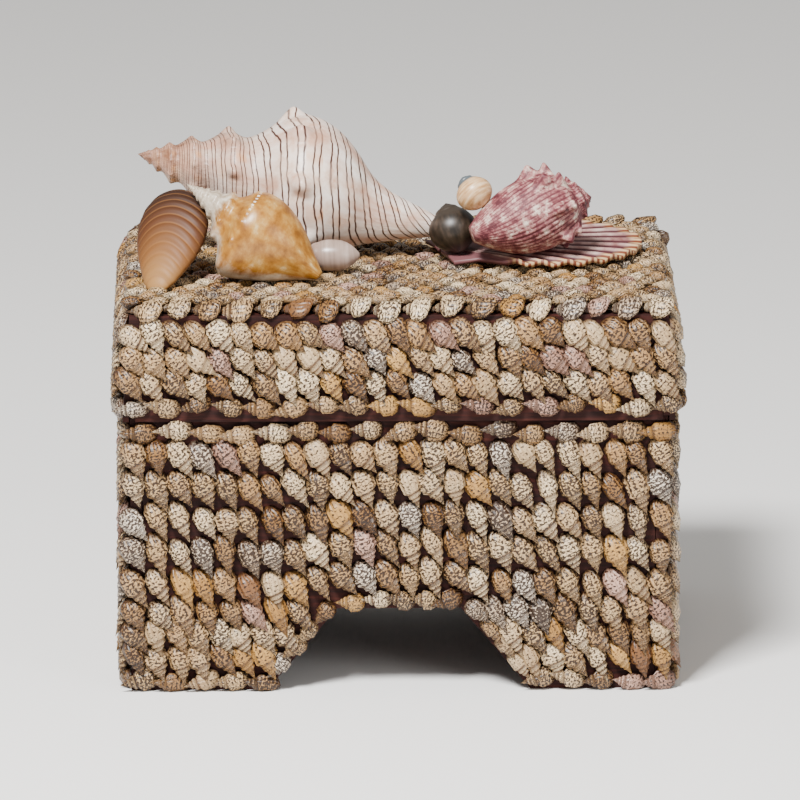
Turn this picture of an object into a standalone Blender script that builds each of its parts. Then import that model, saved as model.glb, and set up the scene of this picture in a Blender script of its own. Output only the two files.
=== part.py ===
"""Shell box: a small wooden chest covered in rows of little sea shells.

The chest stands on two side boards, with an arch cut in its front and back
boards, and its lid lifts off. A group of larger shells is glued on the lid.
The front looks along -Y, +Z is up, and the origin is on the ground under the
middle of the box.
"""

import math
from dataclasses import dataclass

import bmesh
import bpy
import numpy as np
from mathutils import Matrix, Vector
from mathutils.bvhtree import BVHTree

# The wooden chest, in metres
BOX_WIDTH = 0.230
BOX_DEPTH = 0.165
BOX_HEIGHT = 0.121
BOARD = 0.005
JOINT_GAP = 0.0003
ARCH_TOP_WIDTH = 0.053
ARCH_FOOT_WIDTH = 0.113
ARCH_HEIGHT = 0.036
FLOOR_ABOVE_ARCH = 0.002

# The lid: its walls lean out towards a skirt that laps just over the rim
LID_HEIGHT = 0.044
LID_TOP = BOX_HEIGHT + LID_HEIGHT
LID_FLARE = 0.003
SKIRT_DROP = 0.0017
SKIRT_CLEARANCE = 0.0004
SEAT_GAP = 0.0003

# The covering of little shells
SHELL_GAP = 0.0003
SHELL_RISE = 0.0070
VALLEY_RISE = 0.0014
SHELL_SPACING = 0.0100
ROW_HEIGHT = 0.0122
EDGE_ROW_HEIGHT = 0.0092
EDGE_SHELL_SPACING = 0.0133
ROW_SLANT_DEG = 17.0
CORNER_LAP = 0.0025
FACE_MARGIN = 0.0004
LID_ROW_HEIGHT = 0.0112
LID_LOWER_MARGIN = 0.0026
TOP_ROW_HEIGHT = 0.0118
SHORTEST_SHELL = 0.45
SNAP = 0.12
PEAK_SHIFT = 0.10

# Colours of the woods and shells, as linear red, green, blue
WOOD_BROWN = (0.055, 0.022, 0.017)
SHELL_CREAM = (0.50, 0.38, 0.26)
WHELK_IVORY = (0.66, 0.55, 0.47)
CONCH_AMBER = (0.62, 0.36, 0.14)
CLAM_BROWN = (0.34, 0.16, 0.08)
DRUPE_ROSE = (0.48, 0.24, 0.25)
SCALLOP_RUSSET = (0.24, 0.10, 0.08)
MOON_UMBER = (0.12, 0.09, 0.06)
TURBAN_BUFF = (0.45, 0.33, 0.22)
PEBBLE_GREY = (0.52, 0.46, 0.41)


# Meshes and materials
def material(name, color, roughness):
    """A dielectric surface of one colour."""
    made = bpy.data.materials.new(name)
    made.use_nodes = True
    shader = made.node_tree.nodes["Principled BSDF"]
    shader.inputs["Base Color"].default_value = (*color, 1.0)
    shader.inputs["Roughness"].default_value = roughness
    shader.inputs["Metallic"].default_value = 0.0
    return made


def add_object(name, mesh, finish, smooth_angle=None):
    """Links a mesh to the scene as one named piece."""
    mesh.materials.append(finish)
    if smooth_angle is not None:
        mesh.shade_smooth()
        mesh.set_sharp_from_angle(angle=smooth_angle)
    piece = bpy.data.objects.new(name, mesh)
    bpy.context.scene.collection.objects.link(piece)
    return piece


def mesh_of(name, points, faces):
    """A closed mesh of these points and faces, with its faces turned outwards."""
    shell = bmesh.new()
    corners = [shell.verts.new(point) for point in points]
    for face in faces:
        shell.faces.new([corners[i] for i in face])
    bmesh.ops.recalc_face_normals(shell, faces=shell.faces)
    mesh = bpy.data.meshes.new(name)
    shell.to_mesh(mesh)
    shell.free()
    return mesh


def prism(name, near_outline, far_outline, finish):
    """A board between two matching outlines: its end faces, and a side for each edge."""
    count = len(near_outline)
    faces = [list(range(count)), list(range(count, 2 * count))]
    for i in range(count):
        after = (i + 1) % count
        faces.append([i, after, count + after, count + i])
    mesh = mesh_of(name, [*near_outline, *far_outline], faces)
    return add_object(name, mesh, finish)


# Outlines that the boards and the shell rows share
def arch_half_width(height):
    """Half the width of the arch's opening at a height above the ground."""
    share = min(1.0, max(0.0, height / ARCH_HEIGHT))
    return (ARCH_FOOT_WIDTH + (ARCH_TOP_WIDTH - ARCH_FOOT_WIDTH) * share) / 2


def lid_growth(height):
    """How far the lid's outside stands out past the chest's at a height."""
    skirt_foot = BOX_HEIGHT - SKIRT_DROP
    return LID_FLARE * (LID_TOP - height) / (LID_TOP - skirt_foot)


def lid_half_width(height):
    return BOX_WIDTH / 2 + lid_growth(height)


def lid_half_depth(height):
    return BOX_DEPTH / 2 + lid_growth(height)


# The chest
def arched_board(name, outer_y, finish):
    """The front or back board, set between the sides, with the arch cut from its foot."""
    half = BOX_WIDTH / 2 - BOARD - JOINT_GAP
    inner_y = outer_y - math.copysign(BOARD, outer_y)
    outline = [
        (-half, 0.0),
        (-arch_half_width(0.0), 0.0),
        (-arch_half_width(ARCH_HEIGHT), ARCH_HEIGHT),
        (arch_half_width(ARCH_HEIGHT), ARCH_HEIGHT),
        (arch_half_width(0.0), 0.0),
        (half, 0.0),
        (half, BOX_HEIGHT),
        (-half, BOX_HEIGHT),
    ]
    outer = [(x, outer_y, z) for x, z in outline]
    inner = [(x, inner_y, z) for x, z in outline]
    return prism(name, outer, inner, finish)


def block(name, low, high, finish):
    """A straight board between two opposite corners."""
    (x0, y0, z0), (x1, y1, z1) = low, high
    foot = [(x0, y0, z0), (x1, y0, z0), (x1, y1, z0), (x0, y1, z0)]
    head = [(x, y, z1) for x, y, _ in foot]
    return prism(name, foot, head, finish)


def build_chest(wood):
    half_width, half_depth = BOX_WIDTH / 2, BOX_DEPTH / 2
    arched_board("chest_front_board", -half_depth, wood)
    arched_board("chest_back_board", half_depth, wood)
    for name, side in (("chest_left_board", -1), ("chest_right_board", 1)):
        low = (min(side * half_width, side * (half_width - BOARD)), -half_depth, 0.0)
        high = (low[0] + BOARD, half_depth, BOX_HEIGHT)
        block(name, low, high, wood)
    inner_x = half_width - BOARD - JOINT_GAP
    inner_y = half_depth - BOARD - JOINT_GAP
    floor_z = ARCH_HEIGHT + FLOOR_ABOVE_ARCH
    block(
        "chest_floor_board",
        (-inner_x, -inner_y, floor_z),
        (inner_x, inner_y, floor_z + BOARD),
        wood,
    )


# The lid
def wall_section(half_at, chest_half):
    """A lid wall's section as (distance out from the middle, height) pairs, stepped where it laps the rim."""
    skirt_foot = BOX_HEIGHT - SKIRT_DROP
    seat = BOX_HEIGHT + SEAT_GAP
    head = LID_TOP - BOARD - JOINT_GAP
    step = chest_half + SKIRT_CLEARANCE
    return [
        (half_at(skirt_foot), skirt_foot),
        (half_at(head), head),
        (half_at(head) - BOARD, head),
        (half_at(seat) - BOARD, seat),
        (step, seat),
        (step, skirt_foot),
    ]


def build_lid(wood):
    front = wall_section(lid_half_depth, BOX_DEPTH / 2)
    for name, side in (("lid_front_board", -1), ("lid_back_board", 1)):
        ends = []
        for end in (-1, 1):
            reach = [lid_half_width(z) - BOARD - JOINT_GAP for _, z in front]
            ends.append([(end * x, side * out, z) for x, (out, z) in zip(reach, front)])
        prism(name, ends[0], ends[1], wood)
    flank = wall_section(lid_half_width, BOX_WIDTH / 2)
    for name, side in (("lid_left_board", -1), ("lid_right_board", 1)):
        ends = []
        for end in (-1, 1):
            ends.append([(side * out, end * lid_half_depth(z), z) for out, z in flank])
        prism(name, ends[0], ends[1], wood)
    rings = []
    for z in (LID_TOP - BOARD, LID_TOP):
        x, y = lid_half_width(z), lid_half_depth(z)
        rings.append([(-x, -y, z), (x, -y, z), (x, y, z), (-x, y, z)])
    prism("lid_top_board", rings[0], rings[1], wood)


# The covering of little shells: each shell is one raised facet group in a sheet
def split_rows(low, high, row_height):
    """Heights of the lines between plain rows that fill low to high."""
    count = max(1, round((high - low) / row_height))
    return [low + (high - low) * i / count for i in range(count + 1)]


class Row:
    """One row of shells: its two lines, its ends on each line, and whether it is an edge row."""

    def __init__(self, low, high, ends_at, edge):
        self.low, self.high, self.edge = low, high, edge
        self.ends = (ends_at(low), ends_at(high))

    def dividers(self, slant_top):
        """The lines between neighbouring shells as (place on the lower line, place on the upper line)."""
        spacing = EDGE_SHELL_SPACING if self.edge else SHELL_SPACING
        slope = 0.0 if self.edge else math.tan(math.radians(ROW_SLANT_DEG))
        leans = [slope * (slant_top - v) for v in (self.low, self.high)]
        reach = max(abs(end) for pair in self.ends for end in pair) + max(leans)
        count = math.ceil(reach / spacing) + 1
        (low_a, low_b), (high_a, high_b) = self.ends
        kept = [(low_a, high_a)]
        for j in range(-2 * count, count):
            place = (j + 0.5) * spacing
            lower = min(max(place + leans[0], low_a), low_b)
            upper = min(max(place + leans[1], high_a), high_b)
            from_left = max(lower - low_a, upper - high_a)
            from_right = max(low_b - lower, high_b - upper)
            if min(from_left, from_right) > SHORTEST_SHELL * spacing:
                kept.append((lower, upper))
        kept.append((low_b, high_b))
        return kept


def shell_cells(rows):
    """Each shell's outline and its highest point, as places on the face.

    Neighbouring rows share the points on the line between them, so that the
    sheet over them has no cracks.
    """
    slant_top = max(row.high for row in rows)
    on_line = {}
    for row in rows:
        for v, ends in zip((row.low, row.high), row.ends):
            on_line.setdefault(round(v, 7), set()).update(round(u, 7) for u in ends)
    pairs = []
    for row in rows:
        heights = (round(row.low, 7), round(row.high, 7))
        placed = []
        for divider in row.dividers(slant_top):
            spots = []
            for v, u in zip(heights, divider):
                nearest = min(on_line[v], key=lambda x: abs(x - u))
                if abs(nearest - u) > SNAP * SHELL_SPACING:
                    nearest = round(u, 7)
                    on_line[v].add(nearest)
                spots.append(nearest)
            placed.append(spots)
        pairs += [(row, heights, left, right) for left, right in zip(placed, placed[1:])]

    cells = []
    for row, (low, high), left, right in pairs:
        lower = sorted(u for u in on_line[low] if left[0] <= u <= right[0])
        upper = sorted(u for u in on_line[high] if left[1] <= u <= right[1])
        ring = [(u, low) for u in lower] + [(u, high) for u in reversed(upper)]
        peak_u = (left[0] + right[0] + left[1] + right[1]) / 4
        peak_v = (low + high) / 2
        if row.edge:
            peak_u += PEAK_SHIFT * (right[0] - left[0])
        else:
            peak_v += PEAK_SHIFT * (high - low)
        if len(ring) > 2:
            cells.append((ring, (peak_u, peak_v)))
    return cells


def shell_sheet(name, rows, origin, along, upward, outward, finish):
    """A closed sheet on a face, whose outer side rises to a point over each shell.

    The underside is a fan about one point near the top of the face, from where
    the whole outline can be seen, past the arch too.
    """
    along, upward, outward = Vector(along), Vector(upward), Vector(outward)
    sheet = bmesh.new()
    corner_of = {}

    def point(u, v, rise):
        return sheet.verts.new(Vector(origin) + along * u + upward * v + outward * rise)

    def corner(spot):
        if spot not in corner_of:
            corner_of[spot] = point(*spot, VALLEY_RISE)
        return corner_of[spot]

    for ring, peak_spot in shell_cells(rows):
        peak = point(*peak_spot, SHELL_RISE)
        for here, after in zip(ring, ring[1:] + ring[:1]):
            sheet.faces.new((corner(here), corner(after), peak))

    rim = [edge for edge in sheet.edges if edge.is_boundary]
    for item in bmesh.ops.extrude_edge_only(sheet, edges=rim)["geom"]:
        if isinstance(item, bmesh.types.BMVert):
            item.co -= outward * (VALLEY_RISE - SHELL_GAP)
    under_rim = [edge for edge in sheet.edges if edge.is_boundary]
    hub_height = max(row.high for row in rows) - 0.5 * EDGE_ROW_HEIGHT
    hub = point(0.0, hub_height, SHELL_GAP)
    for edge in under_rim:
        sheet.faces.new((*edge.verts, hub))
    bmesh.ops.recalc_face_normals(sheet, faces=sheet.faces)
    mesh = bpy.data.meshes.new(name)
    sheet.to_mesh(mesh)
    sheet.free()
    return add_object(name, mesh, finish)


def arched_ends(half, side):
    """Ends of a row on one side of the arch, as a function of height."""

    def ends(v):
        inner = arch_half_width(v) + FACE_MARGIN
        return (-half, -inner) if side < 0 else (inner, half)

    return ends


def chest_lines():
    """Heights of the row lines on the chest, with one of them level with the arch's top."""
    foot = FACE_MARGIN
    arch_line = ARCH_HEIGHT + FACE_MARGIN
    top = BOX_HEIGHT - SKIRT_DROP - FACE_MARGIN
    below = split_rows(foot + EDGE_ROW_HEIGHT, arch_line, ROW_HEIGHT)
    above = split_rows(arch_line, top - EDGE_ROW_HEIGHT, ROW_HEIGHT)
    return [foot, *below, *above[1:], top]


def chest_rows(half, arched):
    lines = chest_lines()
    arch_line = ARCH_HEIGHT + FACE_MARGIN
    rows = []
    for i, (low, high) in enumerate(zip(lines, lines[1:])):
        edge = i in (0, len(lines) - 2)
        if arched and high < arch_line + 1e-6:
            rows += [Row(low, high, arched_ends(half, side), edge) for side in (-1, 1)]
        else:
            rows.append(Row(low, high, lambda v: (-half, half), edge))
    return rows


def lid_rows(lean_length, half_foot, half_head):
    """Rows on a leaning lid wall, measured up its slope from the skirt's foot."""

    def ends(v):
        half = half_foot + (half_head - half_foot) * v / lean_length
        return -half, half

    head = lean_length - FACE_MARGIN
    foot = LID_LOWER_MARGIN
    lines = [foot, *split_rows(foot + EDGE_ROW_HEIGHT, head, LID_ROW_HEIGHT)]
    return [
        Row(low, high, ends, i == 0) for i, (low, high) in enumerate(zip(lines, lines[1:]))
    ]


def top_rows(half_width, depth):
    """Rows on the lid's top, from the front edge to the back."""
    foot, head = FACE_MARGIN, depth - FACE_MARGIN
    inner = split_rows(foot + EDGE_ROW_HEIGHT, head - EDGE_ROW_HEIGHT, TOP_ROW_HEIGHT)
    lines = [foot, *inner, head]
    half = half_width - FACE_MARGIN
    return [
        Row(low, high, lambda v: (-half, half), i in (0, len(lines) - 2))
        for i, (low, high) in enumerate(zip(lines, lines[1:]))
    ]


FACES = (
    # name, direction along the face, direction outwards, whether it is a front or back face
    ("front", (1, 0, 0), (0, -1, 0), True),
    ("back", (-1, 0, 0), (0, 1, 0), True),
    ("left", (0, -1, 0), (-1, 0, 0), False),
    ("right", (0, 1, 0), (1, 0, 0), False),
)


def cover_with_shells(cream):
    skirt_foot = BOX_HEIGHT - SKIRT_DROP
    lean = Vector((LID_FLARE, LID_TOP - skirt_foot))
    up_slope = lean.normalized()
    for name, along, outward, wide in FACES:
        along, outward = Vector(along), Vector(outward)
        half = (BOX_WIDTH if wide else BOX_DEPTH) / 2
        reach = (BOX_DEPTH if wide else BOX_WIDTH) / 2
        lap = CORNER_LAP if wide else 0.0
        shell_sheet(
            "chest_shells_" + name,
            chest_rows(half + lap, wide),
            outward * reach,
            along,
            (0, 0, 1),
            outward,
            cream,
        )
        upward = Vector((0, 0, up_slope.y)) - outward * up_slope.x
        facing = outward * up_slope.y + Vector((0, 0, up_slope.x))
        shell_sheet(
            "lid_shells_" + name,
            lid_rows(lean.length, half + LID_FLARE + lap, half + lap),
            outward * (reach + LID_FLARE) + Vector((0, 0, skirt_foot)),
            along,
            upward,
            facing,
            cream,
        )
    shell_sheet(
        "lid_shells_top",
        top_rows(BOX_WIDTH / 2, BOX_DEPTH),
        (0, -BOX_DEPTH / 2, LID_TOP),
        (1, 0, 0),
        (0, 1, 0),
        (0, 0, 1),
        cream,
    )


# The larger shells: where on a whorl its suture lies, and where on the shell its canal
# and its lip are, as shares of a whorl's growth, of the length and of a turn
SUTURE_PHASE = 0.42
KNOB_WIDTH = 0.13
CANAL_START = 0.58
CANAL_END = 0.82
LIP_TURN = 0.93
LIP_WIDTH = 0.06
REST_GAP = 0.0004


def smooth_profile(stations, at):
    """Radius at each place, by cubic pieces through (place, radius) stations."""
    x, y = (np.array(column, float) for column in zip(*stations))
    slope = np.gradient(y, x)
    i = np.clip(np.searchsorted(x, at) - 1, 0, len(x) - 2)
    width = x[i + 1] - x[i]
    t = np.clip((at - x[i]) / width, 0.0, 1.0)
    return (
        (2 * t**3 - 3 * t**2 + 1) * y[i]
        + (t**3 - 2 * t**2 + t) * width * slope[i]
        + (3 * t**2 - 2 * t**3) * y[i + 1]
        + (t**3 - t**2) * width * slope[i + 1]
    )


@dataclass(frozen=True)
class Whorled:
    """A snail's shell about a line from its apex to its foot. All but the length are shares.

    stations gives the radius at places along the line, both as shares of the
    length. growth is how much further from the apex each shoulder lies, one turn
    on, and shoulder is the place of the last one. suture is the depth of the
    groove between whorls, as a share of the radius. There are knobs on each turn,
    knob_height high as a share of the radius, and a second row of them lies
    second_row of a turn's growth past the shoulder. canal_bend is how far the foot
    bends aside, as a share of the length, and lip thickens the mouth's edge.
    """

    length: float
    stations: tuple
    growth: float
    shoulder: float
    suture: float
    knobs: int = 0
    knob_height: float = 0.0
    second_row: float = 0.0
    canal_bend: float = 0.0
    lip: float = 0.0

    def points(self, around, places):
        """Points on the surface: one ring of a given number of points at each place along the line."""
        place, turn = np.meshgrid(places, np.arange(around) / around, indexing="ij")
        last = self.shoulder * self.growth ** (turn - 1)
        phase = np.log(place / last) / math.log(self.growth)
        within = phase - np.floor(phase)
        falling = 0.5 + 0.5 * np.cos(np.pi * within / SUTURE_PHASE)
        rising = 0.5 - 0.5 * np.cos(np.pi * (within - SUTURE_PHASE) / (1 - SUTURE_PHASE))
        whorl = np.where(within < SUTURE_PHASE, falling, rising)
        body = 0.5 + 0.5 * np.exp(-((phase / 0.5) ** 2))
        whorl = np.where(phase > 0, body, whorl)
        radius = smooth_profile(self.stations, place) * (1 + self.suture * (whorl - 1))
        if self.knobs:
            bump = np.maximum(0.0, np.cos(2 * np.pi * self.knobs * turn)) ** 2
            from_shoulder = np.where(phase > 0, phase, phase - np.round(phase))
            rows = np.exp(-((from_shoulder / KNOB_WIDTH) ** 2))
            if self.second_row:
                rows = rows + 0.7 * np.exp(-(((phase - self.second_row) / KNOB_WIDTH) ** 2))
            radius = radius * (1 + self.knob_height * bump * rows)
        radius = radius * (1 + self.lip * np.exp(-(((turn - LIP_TURN) / LIP_WIDTH) ** 2)))
        angle = 2 * np.pi * turn
        bend = np.clip((place - CANAL_START) / (CANAL_END - CANAL_START), 0.0, 1.0)
        aside = self.canal_bend * bend**2 * (3 - 2 * bend)
        return self.length * np.stack(
            [place, radius * np.sin(angle), -radius * np.cos(angle) - aside], axis=-1
        )


def ringed_mesh(name, rings, first, last):
    """A closed skin over rings of points, with a single point at each end."""
    count, around = rings.shape[:2]
    points = [tuple(first), *map(tuple, rings.reshape(-1, 3)), tuple(last)]
    faces = []
    for i in range(around):
        after = (i + 1) % around
        faces.append([0, 1 + i, 1 + after])
        tail = 1 + (count - 1) * around
        faces.append([len(points) - 1, tail + after, tail + i])
        for k in range(count - 1):
            row, below = 1 + k * around, 1 + (k + 1) * around
            faces.append([row + i, below + i, below + after, row + after])
    return mesh_of(name, points, faces)


def whorled_piece(name, shape, around, rings, finish):
    """One snail's shell as a solid, with its apex at its own origin and its foot along +X.

    The rings crowd a little towards the apex, where the whorls are small.
    """
    places = 0.03 + 0.95 * np.linspace(0, 1, rings) ** 1.25
    foot = (shape.length, 0.0, -shape.length * shape.canal_bend)
    mesh = ringed_mesh(name, shape.points(around, places), (0.0, 0.0, 0.0), foot)
    return add_object(name, mesh, finish, smooth_angle=math.radians(50))


def aim(piece, apex, foot, roll_deg):
    """Turns a shell so that its line runs from its apex to its foot, rolled about that line."""
    direction = (foot - apex).normalized()
    side = Vector((0, 0, 1)).cross(direction).normalized()
    raised = direction.cross(side)
    turn = Matrix((direction, side, raised)).transposed().to_4x4()
    roll = Matrix.Rotation(math.radians(roll_deg), 4, "X")
    piece.matrix_world = Matrix.Translation(apex) @ turn @ roll


def world_points(piece):
    """The piece's corners, with points along its edges, in the box's frame."""
    matrix = np.array(piece.matrix_world)
    co = np.array([v.co for v in piece.data.vertices])
    edges = np.array([e.vertices[:] for e in piece.data.edges])
    mids = [co[edges[:, 0]] * (1 - t) + co[edges[:, 1]] * t for t in (0.25, 0.5, 0.75)]
    every = np.concatenate([co, *mids])
    return every @ matrix[:3, :3].T + matrix[:3, 3]


def world_tree(piece):
    matrix = piece.matrix_world
    corners = [matrix @ v.co for v in piece.data.vertices]
    return BVHTree.FromPolygons(corners, [p.vertices[:] for p in piece.data.polygons])


def settle(piece, below):
    """Lowers a piece straight down from high above until it rests on the pieces below it."""
    piece.location.z += 1.0
    bpy.context.view_layer.update()
    own, own_tree = world_points(piece), world_tree(piece)
    low, high = own.min(axis=0), own.max(axis=0)
    drops = []
    for other in below:
        theirs, their_tree = world_points(other), world_tree(other)
        near = np.all((theirs[:, :2] > low[:2]) & (theirs[:, :2] < high[:2]), axis=1)
        hits = [their_tree.ray_cast(Vector(point), Vector((0, 0, -1))) for point in own]
        hits += [own_tree.ray_cast(Vector(point), Vector((0, 0, 1))) for point in theirs[near]]
        drops += [distance for spot, _, _, distance in hits if spot is not None]
    piece.location.z -= min(drops) - REST_GAP
    bpy.context.view_layer.update()


WHELK = Whorled(
    length=0.137,
    stations=(
        (0.0, 0.0), (0.10, 0.058), (0.21, 0.105), (0.30, 0.138), (0.40, 0.180),
        (0.46, 0.214), (0.52, 0.232), (0.58, 0.226), (0.635, 0.204), (0.685, 0.172),
        (0.735, 0.128), (0.80, 0.094), (0.88, 0.066), (0.95, 0.044), (1.0, 0.026),
    ),
    growth=1.71,
    shoulder=0.59,
    suture=0.20,
    knobs=8,
    knob_height=0.17,
    canal_bend=0.040,
)
CONCH = Whorled(
    length=0.074,
    stations=(
        (0.0, 0.0), (0.12, 0.055), (0.26, 0.105), (0.36, 0.19), (0.45, 0.245),
        (0.55, 0.262), (0.68, 0.232), (0.80, 0.165), (0.90, 0.085), (1.0, 0.030),
    ),
    growth=1.5,
    shoulder=0.42,
    suture=0.16,
    knobs=10,
    knob_height=0.05,
    lip=0.16,
)
DRUPE = Whorled(
    length=0.056,
    stations=(
        (0.0, 0.0), (0.10, 0.14), (0.22, 0.23), (0.36, 0.29), (0.50, 0.305),
        (0.64, 0.285), (0.78, 0.225), (0.90, 0.15), (1.0, 0.07),
    ),
    growth=2.0,
    shoulder=0.36,
    suture=0.14,
    knobs=8,
    knob_height=0.34,
    second_row=0.62,
    lip=0.05,
)
MOON = Whorled(
    length=0.0225,
    stations=(
        (0.0, 0.0), (0.08, 0.16), (0.22, 0.32), (0.42, 0.46), (0.60, 0.48),
        (0.78, 0.40), (0.92, 0.22), (1.0, 0.08),
    ),
    growth=2.6,
    shoulder=0.40,
    suture=0.08,
)
TURBAN = Whorled(
    length=0.0165,
    stations=(
        (0.0, 0.0), (0.10, 0.14), (0.26, 0.27), (0.45, 0.41), (0.62, 0.43),
        (0.80, 0.34), (0.93, 0.18), (1.0, 0.06),
    ),
    growth=2.1,
    shoulder=0.38,
    suture=0.10,
)
PEBBLE = Whorled(
    length=0.0235,
    stations=(
        (0.0, 0.0), (0.06, 0.13), (0.25, 0.25), (0.5, 0.29), (0.78, 0.23), (0.95, 0.10),
        (1.0, 0.04),
    ),
    growth=4.0,
    shoulder=0.10,
    suture=0.0,
)

CLAM_LENGTH = 0.055
CLAM_WIDTH = 0.032
CLAM_THICKNESS = 0.018

SCALLOP_LENGTH = 0.090
SCALLOP_DOME = 0.0027
SCALLOP_WALL = 0.0018
SCALLOP_RIBS = 17
RIB_RISE = 0.0015


def clam_points(around, rings):
    """A closed bivalve: beak at the origin, growing along +X, its two valves up and down Z.

    Each ring is an oval about the growth line. The shell is narrow at the beak and
    widest past its middle.
    """
    place = (np.arange(rings) + 0.6) / (rings + 0.1)
    place, turn = np.meshgrid(place, np.arange(around) / around, indexing="ij")
    angle = 2 * np.pi * turn
    swell = np.sin(np.pi * place**1.45) ** 0.66
    lean = -0.03 * CLAM_LENGTH * np.sin(np.pi * place)
    return np.stack(
        [
            CLAM_LENGTH * place,
            0.5 * CLAM_WIDTH * swell * np.cos(angle) + lean,
            0.5 * CLAM_THICKNESS * swell * np.sin(angle) * (1.2 - 0.45 * place),
        ],
        axis=-1,
    )


def build_clam(finish):
    rings = clam_points(around=14, rings=12)
    mesh = ringed_mesh("brown_clam", rings, (0, 0, 0), (CLAM_LENGTH, 0, 0))
    return add_object("brown_clam", mesh, finish, smooth_angle=math.radians(50))


def scallop_margin(columns):
    """The fan's margin as shares of its length: a round disc, and a small ear at each end."""
    turn = np.radians(135) * np.linspace(-1, 1, columns)
    disc = np.stack([0.55 + 0.45 * np.cos(turn), 0.45 * np.sin(turn)], axis=-1)
    notch, ear = np.array([0.13, 0.215]), np.array([0.0, 0.24])
    mirror = np.array([1, -1])
    return np.concatenate([[ear * mirror, notch * mirror], disc, [notch, ear]])


def build_scallop(finish):
    """A ribbed fan, one valve with its outside up, between a top and an underside that share its margin."""
    ribbed = 2 * SCALLOP_RIBS + 1
    margin = scallop_margin(ribbed)
    columns, rows = len(margin), 5
    across = np.concatenate([[-1, -1], np.linspace(-1, 1, ribbed), [1, 1]])
    crest = np.concatenate([[0, 0], np.arange(ribbed) % 2, [0, 0]])
    reach = np.linspace(0.10, 1.0, rows)[:, None]
    plan = SCALLOP_LENGTH * reach[:, :, None] * margin
    dome = SCALLOP_DOME * np.sin(np.pi * reach**0.7) ** 0.8 * (1 - 0.6 * across**2)
    rib = RIB_RISE * reach * crest
    upper = np.dstack([plan, dome + rib + SCALLOP_WALL])
    lower = np.dstack([plan, dome + 0.7 * rib])
    points = [*map(tuple, upper.reshape(-1, 3)), *map(tuple, lower.reshape(-1, 3))]
    base = rows * columns
    faces = []
    for k in range(rows - 1):
        for c in range(columns - 1):
            near, far = k * columns + c, (k + 1) * columns + c
            quad = [near, near + 1, far + 1, far]
            faces += [quad, [base + i for i in reversed(quad)]]
    ring = list(range(columns))
    ring += [k * columns + columns - 1 for k in range(1, rows)]
    ring += [(rows - 1) * columns + c for c in range(columns - 2, -1, -1)]
    ring += [k * columns for k in range(rows - 2, 0, -1)]
    for here, after in zip(ring, ring[1:] + ring[:1]):
        faces.append([here, after, base + after, base + here])
    mesh = mesh_of("scallop", points, faces)
    return add_object("scallop", mesh, finish, smooth_angle=math.radians(30))


def from_left(across, back, up):
    """A point measured in from the box's left side, back from its front and up from its lid."""
    return Vector((-BOX_WIDTH / 2 + across, -BOX_DEPTH / 2 + back, LID_TOP + up))


def from_right(across, back, up):
    """A point measured in from the box's right side, back from its front and up from its lid."""
    return Vector((BOX_WIDTH / 2 - across, -BOX_DEPTH / 2 + back, LID_TOP + up))


def build_group():
    """The larger shells, each laid down in turn on the lid and on the shells already there."""
    placed = [piece for piece in bpy.data.objects if piece.name.startswith("lid_")]

    def lay(piece, apex, foot, roll_deg=0):
        aim(piece, apex, foot, roll_deg)
        settle(piece, placed)
        placed.append(piece)

    lay(
        build_scallop(material("scallop_shell", SCALLOP_RUSSET, 0.5)),
        from_right(0.0960, 0.0835, 0.0),
        from_right(0.0095, 0.1080, 0.0),
    )
    lay(
        build_clam(material("clam_shell", CLAM_BROWN, 0.45)),
        from_left(0.0110, 0.0280, 0.008),
        from_left(0.0215, 0.0695, 0.045),
        roll_deg=-12,
    )
    lay(
        whorled_piece("amber_conch", CONCH, 14, 16, material("conch_shell", CONCH_AMBER, 0.4)),
        from_left(0.0247, 0.0540, 0.0428),
        from_left(0.0825, 0.0345, 0.0095),
        roll_deg=-20,
    )
    lay(
        whorled_piece(
            "pale_pebble_shell", PEBBLE, 12, 8, material("pebble_shell", PEBBLE_GREY, 0.35)
        ),
        from_left(0.0755, 0.0560, 0.0),
        from_left(0.0990, 0.0550, 0.0),
    )
    lay(
        whorled_piece("striped_whelk", WHELK, 24, 26, material("whelk_shell", WHELK_IVORY, 0.45)),
        from_left(0.0033, 0.0915, 0.0505),
        from_left(0.1335, 0.0905, 0.0235),
        roll_deg=-14,
    )
    lay(
        whorled_piece("dark_moon_snail", MOON, 16, 10, material("moon_shell", MOON_UMBER, 0.35)),
        from_right(0.0935, 0.0785, 0.030),
        from_right(0.0875, 0.0705, 0.010),
    )
    lay(
        whorled_piece("rose_drupe", DRUPE, 16, 15, material("drupe_shell", DRUPE_ROSE, 0.55)),
        from_right(0.0305, 0.0750, 0.034),
        from_right(0.0795, 0.0600, 0.022),
    )
    lay(
        whorled_piece("buff_turban", TURBAN, 12, 9, material("turban_shell", TURBAN_BUFF, 0.4)),
        from_right(0.0865, 0.0715, 0.042),
        from_right(0.0765, 0.0615, 0.030),
    )


def main():
    for old in list(bpy.data.objects):
        bpy.data.objects.remove(old)
    wood = material("stained_wood", WOOD_BROWN, 0.6)
    cream = material("little_shells", SHELL_CREAM, 0.5)
    build_chest(wood)
    build_lid(wood)
    cover_with_shells(cream)
    build_group()


main()
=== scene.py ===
# %% [markdown]
# # A shell box
#
# This lesson dresses a small wooden chest with sea shells. The chest and its lid are
# already modelled as exact boards. Here they get a wood finish, their faces get about
# 1,500 little snail shells set in rows, and a group of larger shells lies on the lid.
# Every shell is worked out as a surface with numpy, in metres, in the chest's own frame.

import math
from functools import partial

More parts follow.
